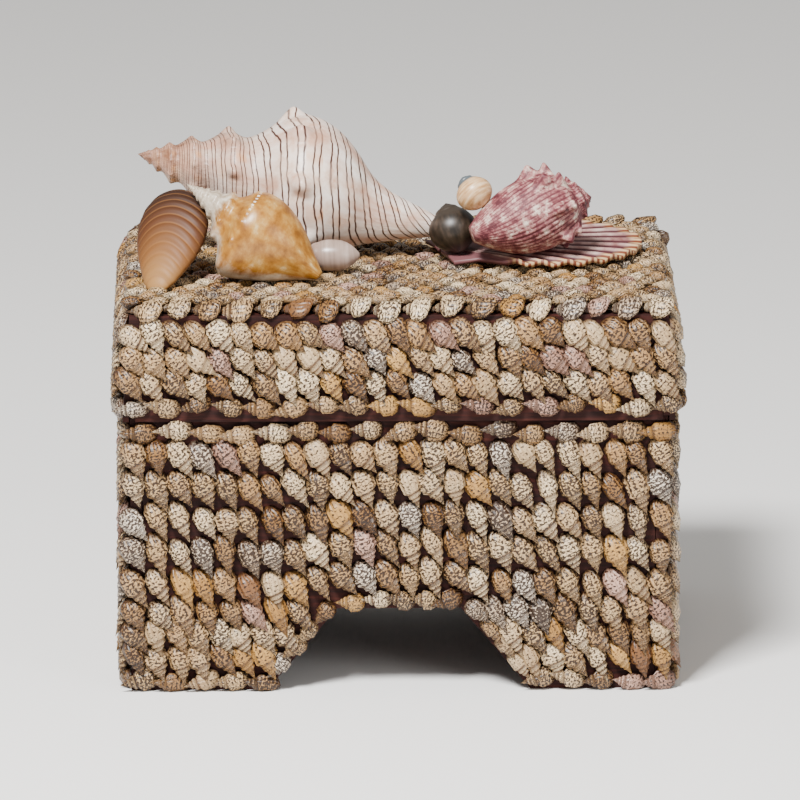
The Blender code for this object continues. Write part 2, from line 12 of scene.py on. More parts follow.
import bpy
import numpy as np
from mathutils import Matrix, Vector


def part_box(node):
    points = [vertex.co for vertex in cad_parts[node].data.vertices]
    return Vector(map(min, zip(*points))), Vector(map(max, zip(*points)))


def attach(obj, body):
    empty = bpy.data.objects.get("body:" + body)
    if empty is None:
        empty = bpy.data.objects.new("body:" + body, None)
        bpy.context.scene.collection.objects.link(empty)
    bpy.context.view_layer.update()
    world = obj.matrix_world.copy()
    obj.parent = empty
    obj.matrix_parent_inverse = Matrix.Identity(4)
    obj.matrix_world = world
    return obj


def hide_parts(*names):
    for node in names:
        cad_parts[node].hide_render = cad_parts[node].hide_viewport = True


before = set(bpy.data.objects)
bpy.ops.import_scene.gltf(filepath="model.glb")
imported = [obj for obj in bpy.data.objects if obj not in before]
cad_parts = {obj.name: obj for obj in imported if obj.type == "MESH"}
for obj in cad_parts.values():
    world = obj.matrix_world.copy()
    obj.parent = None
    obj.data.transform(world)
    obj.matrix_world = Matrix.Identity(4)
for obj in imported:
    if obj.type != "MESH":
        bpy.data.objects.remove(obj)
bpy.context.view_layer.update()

MM = 0.001
random = np.random.default_rng(12)

# %% [markdown]
# ## Meshes from arrays
#
# A surface comes as an array of points and a few groups of faces. A group is an array
# with one row for each face, so triangles and quads are two groups. Blender takes all
# of them in three calls. A UV map has one place for each corner of a face, which lets a
# pattern run across a seam, where the last column of faces meets the first.


# %% From arrays to a piece
def new_mesh(name, points, groups, corner_uv):
    """A smooth mesh from points (n, 3), face groups (faces, corners) and a UV array for each group."""
    mesh = bpy.data.meshes.new(name)
    sizes = np.concatenate([np.full(len(group), group.shape[1]) for group in groups])
    corners = np.concatenate([group.ravel() for group in groups])
    mesh.vertices.add(len(points))
    mesh.vertices.foreach_set("co", points.astype(np.float32).ravel())
    mesh.loops.add(len(corners))
    mesh.loops.foreach_set("vertex_index", corners.astype(np.int32))
    mesh.polygons.add(len(sizes))
    mesh.polygons.foreach_set("loop_start", (np.cumsum(sizes) - sizes).astype(np.int32))
    mesh.update(calc_edges=True)
    layer = mesh.uv_layers.new(name="pattern")
    places = np.concatenate([uv.reshape(-1, 2) for uv in corner_uv])
    layer.data.foreach_set("uv", places.astype(np.float32).ravel())
    mesh.shade_smooth()
    return mesh


def set_values(mesh, name, values, kind="FLOAT"):
    """Stores one number, or one colour, for each point under a name that a material can read."""
    layer = mesh.attributes.new(name, kind, "POINT")
    layer.data.foreach_set("value" if kind == "FLOAT" else "color", values.astype(np.float32).ravel())


def add_piece(name, mesh, finish, slot, *replaced):
    """Puts a finished mesh in the scene, rides it on the box and lets it stand for its CAD nodes."""
    mesh.materials.append(finish)
    piece = bpy.data.objects.new(name, mesh)
    bpy.context.scene.collection.objects.link(piece)
    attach(piece, "root")
    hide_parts(*replaced)
    print(name, len(mesh.polygons), "faces")
    return piece


# %% [markdown]
# ## Colours and nodes
#
# Colours are picked as sRGB hex values, as on a screen, and one function turns them
# into the linear values that a shader works with. One function adds a node with its
# settings and links, and a new material hands it out for its own tree. What goes into a
# node is a number, a hex colour, another node's output, or a node for its first output.


# %% From hex to linear, and one way to add a node
def colour(hex_value):
    """sRGB hex to linear red, green, blue and a full alpha."""
    parts = np.array([int(hex_value[i : i + 2], 16) for i in (0, 2, 4)]) / 255
    linear = np.where(parts <= 0.04045, parts / 12.92, ((parts + 0.055) / 1.055) ** 2.4)
    return (*linear.tolist(), 1.0)


def fill(made, inputs):
    """Sets or links a node's inputs, each found by its socket's identifier, name or number."""
    for key, value in inputs.items():
        by_id = [socket for socket in made.inputs if socket.identifier == key]
        socket = by_id[0] if by_id else made.inputs[key]
        if isinstance(value, bpy.types.Node):
            value = next(output for output in value.outputs if output.enabled)
        if isinstance(value, bpy.types.NodeSocket):
            made.id_data.links.new(value, socket)
        else:
            socket.default_value = colour(value) if isinstance(value, str) else value


def node(tree, kind, inputs=None, stops=None, **settings):
    """Adds a node with its settings, its inputs and, on a colour ramp, its stops."""
    made = tree.nodes.new("ShaderNode" + kind)
    for key, value in settings.items():
        setattr(made, key, value)
    if stops:
        band = made.color_ramp
        while len(band.elements) < len(stops):
            band.elements.new(0.5)
        for element, (place, hex_value) in zip(band.elements, stops):
            element.position = place
            element.color = colour(hex_value)
    fill(made, inputs or {})
    return made


def new_material(name, roughness, specular=0.5):
    """A dielectric material, with its shader and the function that adds nodes to it."""
    made = bpy.data.materials.new(name)
    made.use_nodes = True
    shader = made.node_tree.nodes["Principled BSDF"]
    fill(shader, {"Roughness": roughness, "Specular IOR Level": specular})
    return made, shader, partial(node, made.node_tree)


# %% [markdown]
# ## Stained wood
#
# The box is thin board with a dark red-brown stain and hardly any gloss. It shows only
# in the seam under the lid, between the shells and inside. Grain is noise stretched
# along the board, about 1.5 mm across the fibres.


# %% Stained board
def stained_board():
    """Dark stain in the grain, and a bump that follows it."""
    made, shader, add = new_material("stained_hardwood_board", 0.7, 0.2)
    where = add("TexCoord").outputs["Object"]
    along = add("Mapping", {"Vector": where, "Scale": (60.0, 660.0, 660.0)})
    grain = add("TexNoise", {"Vector": along, "Scale": 1.0, "Detail": 5.0, "Distortion": 0.4})
    shade = add("ValToRGB", {"Fac": grain}, stops=[(0.30, "1A0907"), (0.52, "2E120E"), (0.72, "431D15")])
    lift = add("Bump", {"Height": grain, "Strength": 0.3, "Distance": 0.0002})
    fill(shader, {"Base Color": shade, "Normal": lift})
    return made


wood = stained_board()
for name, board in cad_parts.items():
    if name.endswith("_board"):
        board.data.materials.clear()
        board.data.materials.append(wood)
print("wood on", sum(name.endswith("_board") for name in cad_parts), "boards")

# %% [markdown]
# ## The box's faces
#
# Nine faces carry little shells: four walls of the chest, four of the lid and the lid's
# top. Each has a flat frame of its own: a starting point, a direction along the face, one
# up the face and one outwards. The sizes are read from the boards, all but the arch's.

# %% Frames of the faces
side_low, side_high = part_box("chest_left_board")
lid_low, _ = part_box("lid_front_board")
HALF_WIDTH, HALF_DEPTH = -side_low[0], -side_low[1]
SKIRT_FOOT = lid_low[2]
LID_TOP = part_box("lid_top_board")[1][2]
LID_FLARE = -lid_low[1] - HALF_DEPTH
CORNER_LAP = 2.5 * MM   # how far the rows of a wide face reach round its corners
ARCH_HEIGHT, ARCH_TOP, ARCH_FOOT = 36 * MM, 53 * MM, 113 * MM

WALLS = (
    # name, along, outwards, whether it is a wide face
    ("front", (1, 0, 0), (0, -1, 0), True),
    ("back", (-1, 0, 0), (0, 1, 0), True),
    ("left", (0, -1, 0), (-1, 0, 0), False),
    ("right", (0, 1, 0), (1, 0, 0), False),
)
lean = math.hypot(LID_FLARE, LID_TOP - SKIRT_FOOT)
print("chest", 2 * HALF_WIDTH, 2 * HALF_DEPTH, side_high[2], "lid wall", lean)

# %% [markdown]
# ## One little shell
#
# Each is a small sea snail, 13 to 18 mm long by its row: a spire of stepped whorls and a
# full last whorl that narrows to its foot. A spiral is the honest way to build it. Two lines wind
# down the shell together, one in the groove between the whorls and one on the swell of
# the whorl, and faces join each line to the next. Three turns with eight points each, two
# rings on the last whorl and a point at both ends make 75 faces, few enough to repeat
# 1,500 times.

# %% The little shell's faces
TURNS, AROUND = 3, 8
WOUND = TURNS * AROUND


def spiral_faces():
    """Point numbers of one shell's faces, as a group of quads and a group of triangles.

    The points in the groove come first, then those on the swell, the two rings on the
    last whorl, the tip and the foot.
    """
    s, j = np.arange(WOUND), np.arange(AROUND)
    groove, swell, ring = 0, WOUND + 1, 2 * (WOUND + 1)
    earlier = swell + np.arange(WOUND - AROUND)
    next_groove = groove + AROUND + np.arange(WOUND - AROUND)
    outer = ring + AROUND
    tip, foot = outer + AROUND, outer + AROUND + 1
    after = (j + 1) % AROUND
    last = swell + WOUND - AROUND
    quads = [
        np.stack([groove + s, groove + s + 1, swell + s + 1, swell + s], 1),
        np.stack([earlier, earlier + 1, next_groove + 1, next_groove], 1),
        np.stack([last + j, last + j + 1, ring + after, ring + j], 1),
        np.stack([ring + j, ring + after, outer + after, outer + j], 1),
        np.array([[groove + WOUND, last, ring, swell + WOUND]]),
    ]
    triangles = [
        np.stack([np.full(AROUND, tip), groove + j + 1, groove + j], 1),
        np.array([[tip, swell, groove + AROUND], [tip, groove, swell]]),
        np.stack([np.full(AROUND, foot), outer + j, outer + after], 1),
    ]
    return np.concatenate(quads), np.concatenate(triangles)


SHELL_QUADS, SHELL_TRIANGLES = spiral_faces()
SHELL_POINTS = int(SHELL_TRIANGLES.max() + 1)
print("one little shell:", len(SHELL_QUADS) + len(SHELL_TRIANGLES), "faces,", SHELL_POINTS, "points")

# %% [markdown]
# The radius along a shell comes from a short table of stations, joined by smooth cubic
# pieces. All the shells of a face are worked out together: every array below has one row
# for each shell and one column for each point of it.


# %% The little shell's surface
def smooth_profile(stations, at):
    """Radius at each place, by cubic pieces through (place, radius) stations."""
    x, y = (np.array(column, float) for column in zip(*stations))
    slope = np.gradient(y, x)
    i = np.clip(np.searchsorted(x, at) - 1, 0, len(x) - 2)
    width = x[i + 1] - x[i]
    t = np.clip((at - x[i]) / width, 0.0, 1.0)
    return (
        (2 * t**3 - 3 * t**2 + 1) * y[i]
        + (t**3 - 2 * t**2 + t) * width * slope[i]
        + (3 * t**2 - 2 * t**3) * y[i + 1]
        + (t**3 - t**2) * width * slope[i + 1]
    )


SPINDLE = (
    (0.0, 0.0), (0.10, 0.17), (0.20, 0.34), (0.30, 0.52), (0.40, 0.71), (0.50, 0.88),
    (0.60, 0.98), (0.70, 1.0), (0.80, 0.90), (0.90, 0.67), (1.0, 0.34),
)
LAST_GROOVE = 0.50      # where the last groove ends, from the tip, as a share of the length
SWELL_SHARE = 0.45      # where the swell lies between two grooves, as a share of the growth
GROOVE_DEPTH = 0.17
SWELL_HEIGHT = 0.05
RING_PLACES = (0.79, 0.93)
BOARD_GAP = 0.15 * MM   # between a shell's flattened underside and the board


def spindles(count, length, width, height, growth, roll, tilt, lift):
    """Points of many little shells (count, points, 3): tipwards, sideways and up, on a flat board.

    A point's place is its distance from the tip. In the groove it grows by one factor each
    turn, and the swell lies a fixed share of that growth further on. Its angle round the
    shell is its turn, its radius is the profile's, a little less in the groove and more on
    the swell, and the underside is cut flat at the board.
    """
    turn = np.arange(WOUND + 1) / AROUND
    ring_turn = np.tile(TURNS - 1 + np.arange(AROUND) / AROUND, len(RING_PLACES))
    grow = growth[:, None]
    groove = LAST_GROOVE * grow ** (turn - TURNS)
    ring = np.tile(np.repeat(RING_PLACES, AROUND), (count, 1))
    ends = np.tile([0.0, 1.0], (count, 1))
    place = np.concatenate([groove, groove * grow**SWELL_SHARE, ring, ends], axis=1)
    turns = np.concatenate([turn, turn, ring_turn, [0.5, TURNS - 0.5]])
    shape = np.concatenate([
        np.full(WOUND + 1, 1 - GROOVE_DEPTH),
        np.full(WOUND + 1, 1 + SWELL_HEIGHT),
        np.ones(len(ring_turn)),
        [1.0, 0.0],
    ])
    radius = smooth_profile(SPINDLE, place) * shape
    angle = 2 * np.pi * turns + roll[:, None]
    tipwards = (0.5 - place) * length[:, None]
    sideways = -0.5 * width[:, None] * radius * np.sin(angle)
    up = -0.5 * height[:, None] * radius * np.cos(angle) + lift[:, None]
    up = up + np.tan(tilt)[:, None] * tipwards
    return np.stack([tipwards, sideways, np.maximum(up, BOARD_GAP)], axis=-1), place, turns


# %% [markdown]
# ## Rows of little shells
#
# On the walls the shells hang in rows with their tips down and to the right, and each tip
# laps over the row below. On the top the tips point back and the round ends forward.
# Along the box's edges and round the arch a single row lies flat, tip to foot. No two
# shells are alike, so size, direction, tilt and roll each vary a little, from one seeded
# source.

# %% Places of the shells
SPACING = 9.6 * MM
EDGE_ROW = 9.0 * MM     # height of an edge row
ROWS = {
    # spacing, heading in degrees from the face's along direction, length, and how wide the
    # shells are against those of the walls
    "chest": (SPACING, -64.0, 17.6 * MM, 1.0),
    "lid": (SPACING, -50.0, 16.8 * MM, 1.0),
    "edge": (13.6 * MM, 180.0, 16.2 * MM, 0.86),
    "arch": (11.0 * MM, 180.0, 13.4 * MM, 0.78),
    "top": (SPACING, 92.0, 12.8 * MM, 0.88),
    "top_front": (12.6 * MM, 158.0, 17.0 * MM, 0.95),
    "top_back": (12.6 * MM, 202.0, 17.0 * MM, 0.95),
}


def row_of(left, right, middle, kind):
    """One row: for each shell its place along and up the face, its heading, length and size."""
    spacing, heading, length, size = ROWS[kind]
    count = max(1, round((right - left) / spacing))
    share = (np.arange(count) + 0.5) / count
    along = left + (right - left) * share
    return np.stack([along, *np.outer([middle, heading, length, size], np.ones(count))], axis=1)


def field_lines(low, high, pitch):
    """Heights of the lines between rows that fill low to high."""
    return np.linspace(low, high, max(1, round((high - low) / pitch)) + 1)


def arch_half(height):
    """Half the arch's width at a height above the ground."""
    share = np.clip(height / ARCH_HEIGHT, 0.0, 1.0)
    return (ARCH_FOOT + (ARCH_TOP - ARCH_FOOT) * share) / 2


# %% Rows on the chest
UPPER_PITCH, LOWER_PITCH = 14.1 * MM, 10.2 * MM
SEAM_GAP = 0.4 * MM     # between the lid's foot and the chest's uppermost row
OVER_ARCH = 2.5 * MM    # from the arch's top to where the upper rows begin
BORDER = 8.0 * MM       # width of the row that follows the arch
ARCH_GAP = 0.5 * MM     # between a row's end and the arch
ARCH_LIFT, LIFT_WIDTH = 5.0 * MM, 36 * MM


def chest_row_places(half, arched):
    """Rows on a chest wall, an edge row at its head and foot and hanging shells between.

    Over an arch the rows are lifted by the exponential of minus the fourth power of the
    place across, so that a border row fits below them.
    """
    top = SKIRT_FOOT - SEAM_GAP
    field_top = top - EDGE_ROW
    below = field_lines(EDGE_ROW, ARCH_HEIGHT + OVER_ARCH, LOWER_PITCH)
    above = field_lines(ARCH_HEIGHT + OVER_ARCH, field_top, UPPER_PITCH)
    middles = [(low + high) / 2 for low, high in zip(above, above[1:])]
    field = np.concatenate([row_of(-half, half, middle, "chest") for middle in middles])
    if arched:
        arch = np.exp(-((field[:, 0] / LIFT_WIDTH) ** 4))
        field[:, 1] += ARCH_LIFT * arch * (field_top - field[:, 1]) / (field_top - ARCH_HEIGHT)
    rows = [row_of(-half, half, top - EDGE_ROW / 2, "edge"), field]
    for low, high in zip([0.0, *below], below):
        middle = (low + high) / 2
        kind, clear = ("edge", ARCH_GAP) if low == 0.0 else ("chest", BORDER)
        inner = arch_half(middle) + clear
        spans = [(-half, -inner), (inner, half)] if arched else [(-half, half)]
        rows += [row_of(left, right, middle, kind) for left, right in spans]
    if arched:
        rows.append(row_of(-ARCH_TOP / 2, ARCH_TOP / 2, ARCH_HEIGHT + BORDER / 2, "arch"))
        rows += [arch_slope(side) for side in (-1, 1)]
    return np.concatenate(rows)


def arch_slope(side):
    """The border row beside the arch, along a straight line that climbs from its foot to its top."""
    run, rise = (ARCH_FOOT - ARCH_TOP) / 2, ARCH_HEIGHT
    slope = math.hypot(run, rise)
    row = row_of(BORDER * 0.8, slope - ARCH_GAP, 0.0, "arch")
    climbed = row[:, 0] / slope
    row[:, 0] = side * (ARCH_FOOT / 2 - run * climbed + BORDER / 2 * rise / slope)
    row[:, 1] = rise * climbed + BORDER / 2 * run / slope
    row[:, 2] = math.degrees(math.atan2(-rise, side * run))
    return row


# %% Rows on the lid
LID_FOOT = 2.6 * MM     # below the lowest row of a lid wall
LID_HEAD = 3.7 * MM     # above its uppermost row
FIRST_LINE, LID_PITCH = 7.6 * MM, 10.8 * MM
TOP_EDGE, TOP_INSET, TOP_PITCH = 9.0 * MM, 3.2 * MM, 8.4 * MM
STAGGER = 0.25 * SPACING


def lid_row_places(foot_half, head_half):
    """Rows on a leaning lid wall: one edge row at the foot, and rows of hanging shells above it."""
    lines = field_lines(LID_FOOT + FIRST_LINE, lean - LID_HEAD, LID_PITCH)
    rows = [row_of(-foot_half, foot_half, LID_FOOT + EDGE_ROW / 2, "edge")]
    for low, high in zip(lines, lines[1:]):
        half = foot_half + (head_half - foot_half) * high / lean
        rows.append(row_of(-half, half, (low + high) / 2, "lid"))
    return np.concatenate(rows)


def top_row_places(half, depth):
    """Rows on the lid's top, every other one staggered, and larger shells along front and back."""
    lines = field_lines(TOP_EDGE, depth - TOP_EDGE, TOP_PITCH)
    rows = [row_of(-half, half, TOP_INSET, "top_front"), row_of(-half, half, depth - TOP_INSET, "top_back")]
    for i, (low, high) in enumerate(zip(lines, lines[1:])):
        row = row_of(-half, half, (low + high) / 2, "top")
        row[:, 0] += STAGGER if i % 2 else -STAGGER
        rows.append(row)
    return np.concatenate(rows)


# %% [markdown]
# ## The little shells' colours
#
# Most are cream or tan and thickly flecked with dark brown. Some are white and flecked
# most of all, so that they look grey, and the rest are sand, ochre, rust or rose. Each
# shell draws a kind, and the kind gives its ground colour, how much of it the flecks cover
# and how strong the dark bands in its grooves are, brown colour and painted shade in one.
# These are stored on its points.

# %% Kinds of little shell
KINDS = (
    # share, lightest and darkest ground colour, cover of flecks, strength of the groove bands (brown and
    # painted shade)
    (0.42, "F4E0B8", "AE8856", 0.68, 0.95),
    (0.28, "D8BA8A", "8C6638", 0.76, 0.85),
    (0.10, "F0E6D4", "BCA68A", 0.86, 0.65),
    (0.08, "D6C09A", "B0946C", 0.48, 0.95),
    (0.06, "CCA25E", "A47A3E", 0.54, 0.70),
    (0.01, "8F6440", "74502F", 0.50, 0.75),
    (0.05, "CCA898", "A68272", 0.64, 0.60),
)


def colours_for(count):
    """Ground colour, cover and band strength for each shell, drawn from the kinds."""
    shares = np.array([kind[0] for kind in KINDS])
    chosen = random.choice(len(KINDS), size=count, p=shares / shares.sum())
    light = np.array([colour(kind[1]) for kind in KINDS])[chosen]
    dark = np.array([colour(kind[2]) for kind in KINDS])[chosen]
    ground = light + (dark - light) * random.random((count, 1))
    cover = np.array([kind[3] for kind in KINDS])[chosen] + random.normal(0, 0.06, count)
    bands = np.array([kind[4] for kind in KINDS])[chosen] * random.uniform(0.6, 1.3, count)
    return ground, np.clip(cover, 0, 1), np.clip(bands, 0, 1)


# %% Finish of the little shells
def flecked_shell():
    """Flecks are noise in millimetres round and along each shell, cut off at its own cover."""
    made, shader, add = new_material("flecked_snail_shell", 0.40, 0.42)
    where = add("UVMap", uv_map="pattern")
    ground = add("Attribute", attribute_name="ground").outputs["Color"]
    cover = add("Attribute", attribute_name="cover").outputs["Fac"]
    bands = add("Attribute", attribute_name="bands").outputs["Fac"]
    groove = add("Attribute", attribute_name="groove").outputs["Fac"]

    # ribs down each whorl 1.3 mm apart, crossed by cords 1.5 mm apart that wind round
    ribs = add("TexWave", {"Vector": where, "Scale": 0.24, "Distortion": 1.4, "Detail": 1.0})
    cords = add("TexWave", {"Vector": where, "Scale": 0.21, "Distortion": 0.8}, bands_direction="Y")
    beads = add("Math", {0: ribs.outputs["Fac"], 1: cords.outputs["Fac"]}, operation="MULTIPLY")

    # flecks about 0.7 mm across, most of them on the beads where ribs and cords cross
    flecks = add("Mapping", {"Vector": where, "Scale": (1.35, 1.6, 1.0)})
    noise = add("TexNoise", {"Vector": flecks, "Scale": 1.0, "Detail": 2.0, "Roughness": 0.55})
    lifted = add("Math", {0: beads, 1: 0.13, 2: noise}, operation="MULTIPLY_ADD")
    level = add(
        "MapRange", {"Value": cover, "From Min": 0.0, "From Max": 1.0, "To Min": 0.74, "To Max": 0.42},
    )
    over = add("Math", {0: lifted, 1: level}, operation="SUBTRACT")
    spot = add("MapRange", {"Value": over, "From Min": 0.0, "From Max": 0.04})

    # clouds of a warmer and a paler tone, 5 mm across
    cloud = add("TexNoise", {"Vector": where, "Scale": 0.22, "Detail": 1.0})
    warm = add(
        "Mix", {"Factor_Float": cloud, "A_Color": ground, "B_Color": "C79D6B"},
        data_type="RGBA", blend_type="MULTIPLY",
    )
    pale = add("Mix", {"Factor_Float": 0.55, "A_Color": ground, "B_Color": warm}, data_type="RGBA")

    # in layers over them: dark bands in the grooves, brown and painted shade in one, painted
    # shade between the ribs, the flecks, and brown glue and dust with painted shade low down
    # between the shells
    # the bands: darker in the grooves between the whorls, partly brown colour and partly painted shade
    in_groove = add("MapRange", {"Value": groove, "From Min": 0.35, "From Max": 0.95})
    band = add("Math", {0: in_groove, 1: bands}, operation="MULTIPLY")
    # painted shade: darker between the ribs
    shade = add("MapRange", {"Value": ribs.outputs["Fac"], "From Min": 0.5, "From Max": 0.0, "To Max": 0.34})
    fleck = add("Math", {0: spot, 1: 0.96}, operation="MULTIPLY")
    # glue and painted shade: darker low down near the board, by the value low
    low = add("Attribute", attribute_name="low").outputs["Fac"]
    glue_and_shade = add("MapRange", {"Value": low, "From Min": 0.15, "From Max": 0.95, "To Max": 0.86})
    painted = pale
    for amount, tone in ((band, "57391F"), (shade, "6A4726"), (fleck, "221006"), (glue_and_shade, "3A2010")):
        painted = add("Mix", {"Factor_Float": amount, "A_Color": painted, "B_Color": tone}, data_type="RGBA")
    lift = add("Bump", {"Height": ribs.outputs["Fac"], "Strength": 0.55, "Distance": 0.0005})
    fill(shader, {"Base Color": painted, "Normal": lift})
    return made


little_shell_finish = flecked_shell()

# %% [markdown]
# ## Setting the shells on a face
#
# A row table says where each shell goes. The shells' own points are turned to their
# heading within the face, and then the face's frame carries them to their place on the
# box. One mesh holds all the shells of a face.

# %% Shells onto a face
TURN_LENGTH, PATTERN_LENGTH = 18.0, 14.0    # millimetres of pattern round and along a shell
EDGE_BEND = 2.0 * MM    # how far inside the top's edge its shells start to bend down
STANDING_GAP = 0.3 * MM
SHELL_WIDTH, SHELL_HEIGHT = 11.4 * MM, 7.4 * MM
MEAN_LENGTH = 1.04      # against the length that a row asks for
AXIS_RISE = 2.7 * MM    # from the board to a shell's middle line
TALLEST = 6.9 * MM      # higher points are cut off level
# glue and painted shade on the little shells: full up to the first height over the board, gone past the
# second
GLUE_AND_SHADE_TOP, GLUE_AND_SHADE_FADE = 0.6 * MM, 3.6 * MM


def shells_on_face(name, places, origin, along, upward, outward, tilt_deg=18.0, bent_depth=None):
    """Builds every little shell of one face as one mesh and lets it stand for the CAD sheet.

    On a face with a bent depth, what reaches past its front and back edges is lowered by the
    distance past them. The lowest shells are cut flat just above the ground. The value low is
    1 up to the top of the glue and painted shade, and falls evenly to 0 where they have faded.
    """
    count = len(places)

    def vary(spread):
        """A random number for each shell, by a bell curve cut off at 1.8 times its spread."""
        return random.normal(0, 1, count).clip(-1.8, 1.8) * spread

    u, v, heading, length, size = places.T
    length = length * (MEAN_LENGTH + vary(0.085))
    width = SHELL_WIDTH * size * (1 + vary(0.085))
    height = SHELL_HEIGHT * size * (1 + vary(0.05))
    points, place, turns = spindles(
        count, length, width, height,
        growth=1.5 + vary(0.05),
        roll=np.radians(vary(25)),
        tilt=np.radians(tilt_deg + vary(2.5)),
        lift=AXIS_RISE + vary(0.12 * MM),
    )
    angle = np.radians(heading + vary(8.5))[:, None]
    tipwards, sideways, rise = np.moveaxis(points, -1, 0)
    u = (u + vary(0.5 * MM))[:, None] + tipwards * np.cos(angle) - sideways * np.sin(angle)
    v = (v + vary(0.7 * MM))[:, None] + tipwards * np.sin(angle) + sideways * np.cos(angle)
    rise = np.minimum(rise, TALLEST)
    # how much glue and painted shade darken each point: 1 near the board, 0 higher up
    low = 1 - np.clip((rise - GLUE_AND_SHADE_TOP) / GLUE_AND_SHADE_FADE, 0.0, 1.0)
    if bent_depth:
        past = np.maximum(EDGE_BEND - v, v - (bent_depth - EDGE_BEND))
        rise = rise - np.maximum(past, 0.0)
    axes = np.array([along, upward, outward], float)
    world = np.array(origin, float) + np.stack([u, v, rise], axis=-1) @ axes
    world[..., 2] = np.maximum(world[..., 2], STANDING_GAP)

    first = np.arange(count)[:, None, None] * SHELL_POINTS
    shift = random.uniform(0, 400, (count, 1, 2))
    pattern = np.stack(np.broadcast_arrays(turns * TURN_LENGTH, place * PATTERN_LENGTH), axis=-1) + shift
    groups, corner_uv = [], []
    for faces in (SHELL_QUADS, SHELL_TRIANGLES):
        groups.append((faces + first).reshape(-1, faces.shape[1]))
        corner_uv.append(pattern[:, faces].reshape(-1, faces.shape[1], 2))
    mesh = new_mesh(name, world.reshape(-1, 3), groups, corner_uv)

    ground, cover, bands = colours_for(count)
    is_groove = np.arange(SHELL_POINTS) <= WOUND
    set_values(mesh, "ground", np.repeat(ground, SHELL_POINTS, axis=0), "FLOAT_COLOR")
    set_values(mesh, "cover", np.repeat(cover, SHELL_POINTS))
    set_values(mesh, "bands", np.repeat(bands, SHELL_POINTS))
    set_values(mesh, "groove", np.tile(is_groove, count).astype(float))
    set_values(mesh, "low", low.ravel())
    add_piece("little_" + name, mesh, little_shell_finish, "little_shells", name)
    return count


# %% Covering the box
covered = 0
for name, along, outward, wide in WALLS:
    along, outward = np.array(along, float), np.array(outward, float)
    half = (HALF_WIDTH if wide else HALF_DEPTH) + (CORNER_LAP if wide else 0.0)
    reach = HALF_DEPTH if wide else HALF_WIDTH
    covered += shells_on_face(
        "chest_shells_" + name, chest_row_places(half, wide), outward * reach, along, (0, 0, 1), outward
    )
    up_slope = np.array([0, 0, LID_TOP - SKIRT_FOOT]) - outward * LID_FLARE
    facing = outward * (LID_TOP - SKIRT_FOOT) + np.array([0, 0, LID_FLARE])
    foot = outward * (reach + LID_FLARE) + np.array([0, 0, SKIRT_FOOT])
    lid_rows = lid_row_places(half + LID_FLARE, half)
    covered += shells_on_face("lid_shells_" + name, lid_rows, foot, along, up_slope / lean, facing / lean)
covered += shells_on_face(
    "lid_shells_top",
    top_row_places(HALF_WIDTH, 2 * HALF_DEPTH),
    (0, -HALF_DEPTH, LID_TOP),
    (1, 0, 0),
    (0, 1, 0),
    (0, 0, 1),
    tilt_deg=-18.0,
    bent_depth=2 * HALF_DEPTH,
)
print("little shells:", covered)

# %% [markdown]
# ## Larger snail shells
#
# A snail's shell winds about a line from its apex to its foot, and each whorl is a fixed
# factor larger than the one before. On a grid of places along that line and turns about it,
# the distance from the shoulder of the whorl, counted in turns of growth, is the phase. All
# the carving follows the phase: the groove between whorls, the knobs and the stripes.

# %% The whorled surface
SUTURE_PHASE = 0.42
CORD_TWIST = 0.03
KNOB_FULL = 0.28        # the knobs are lower nearer to the apex than this place
LIP_TURN, LIP_WIDTH = 0.94, 0.075
CANAL_START, CANAL_END = 0.58, 0.82


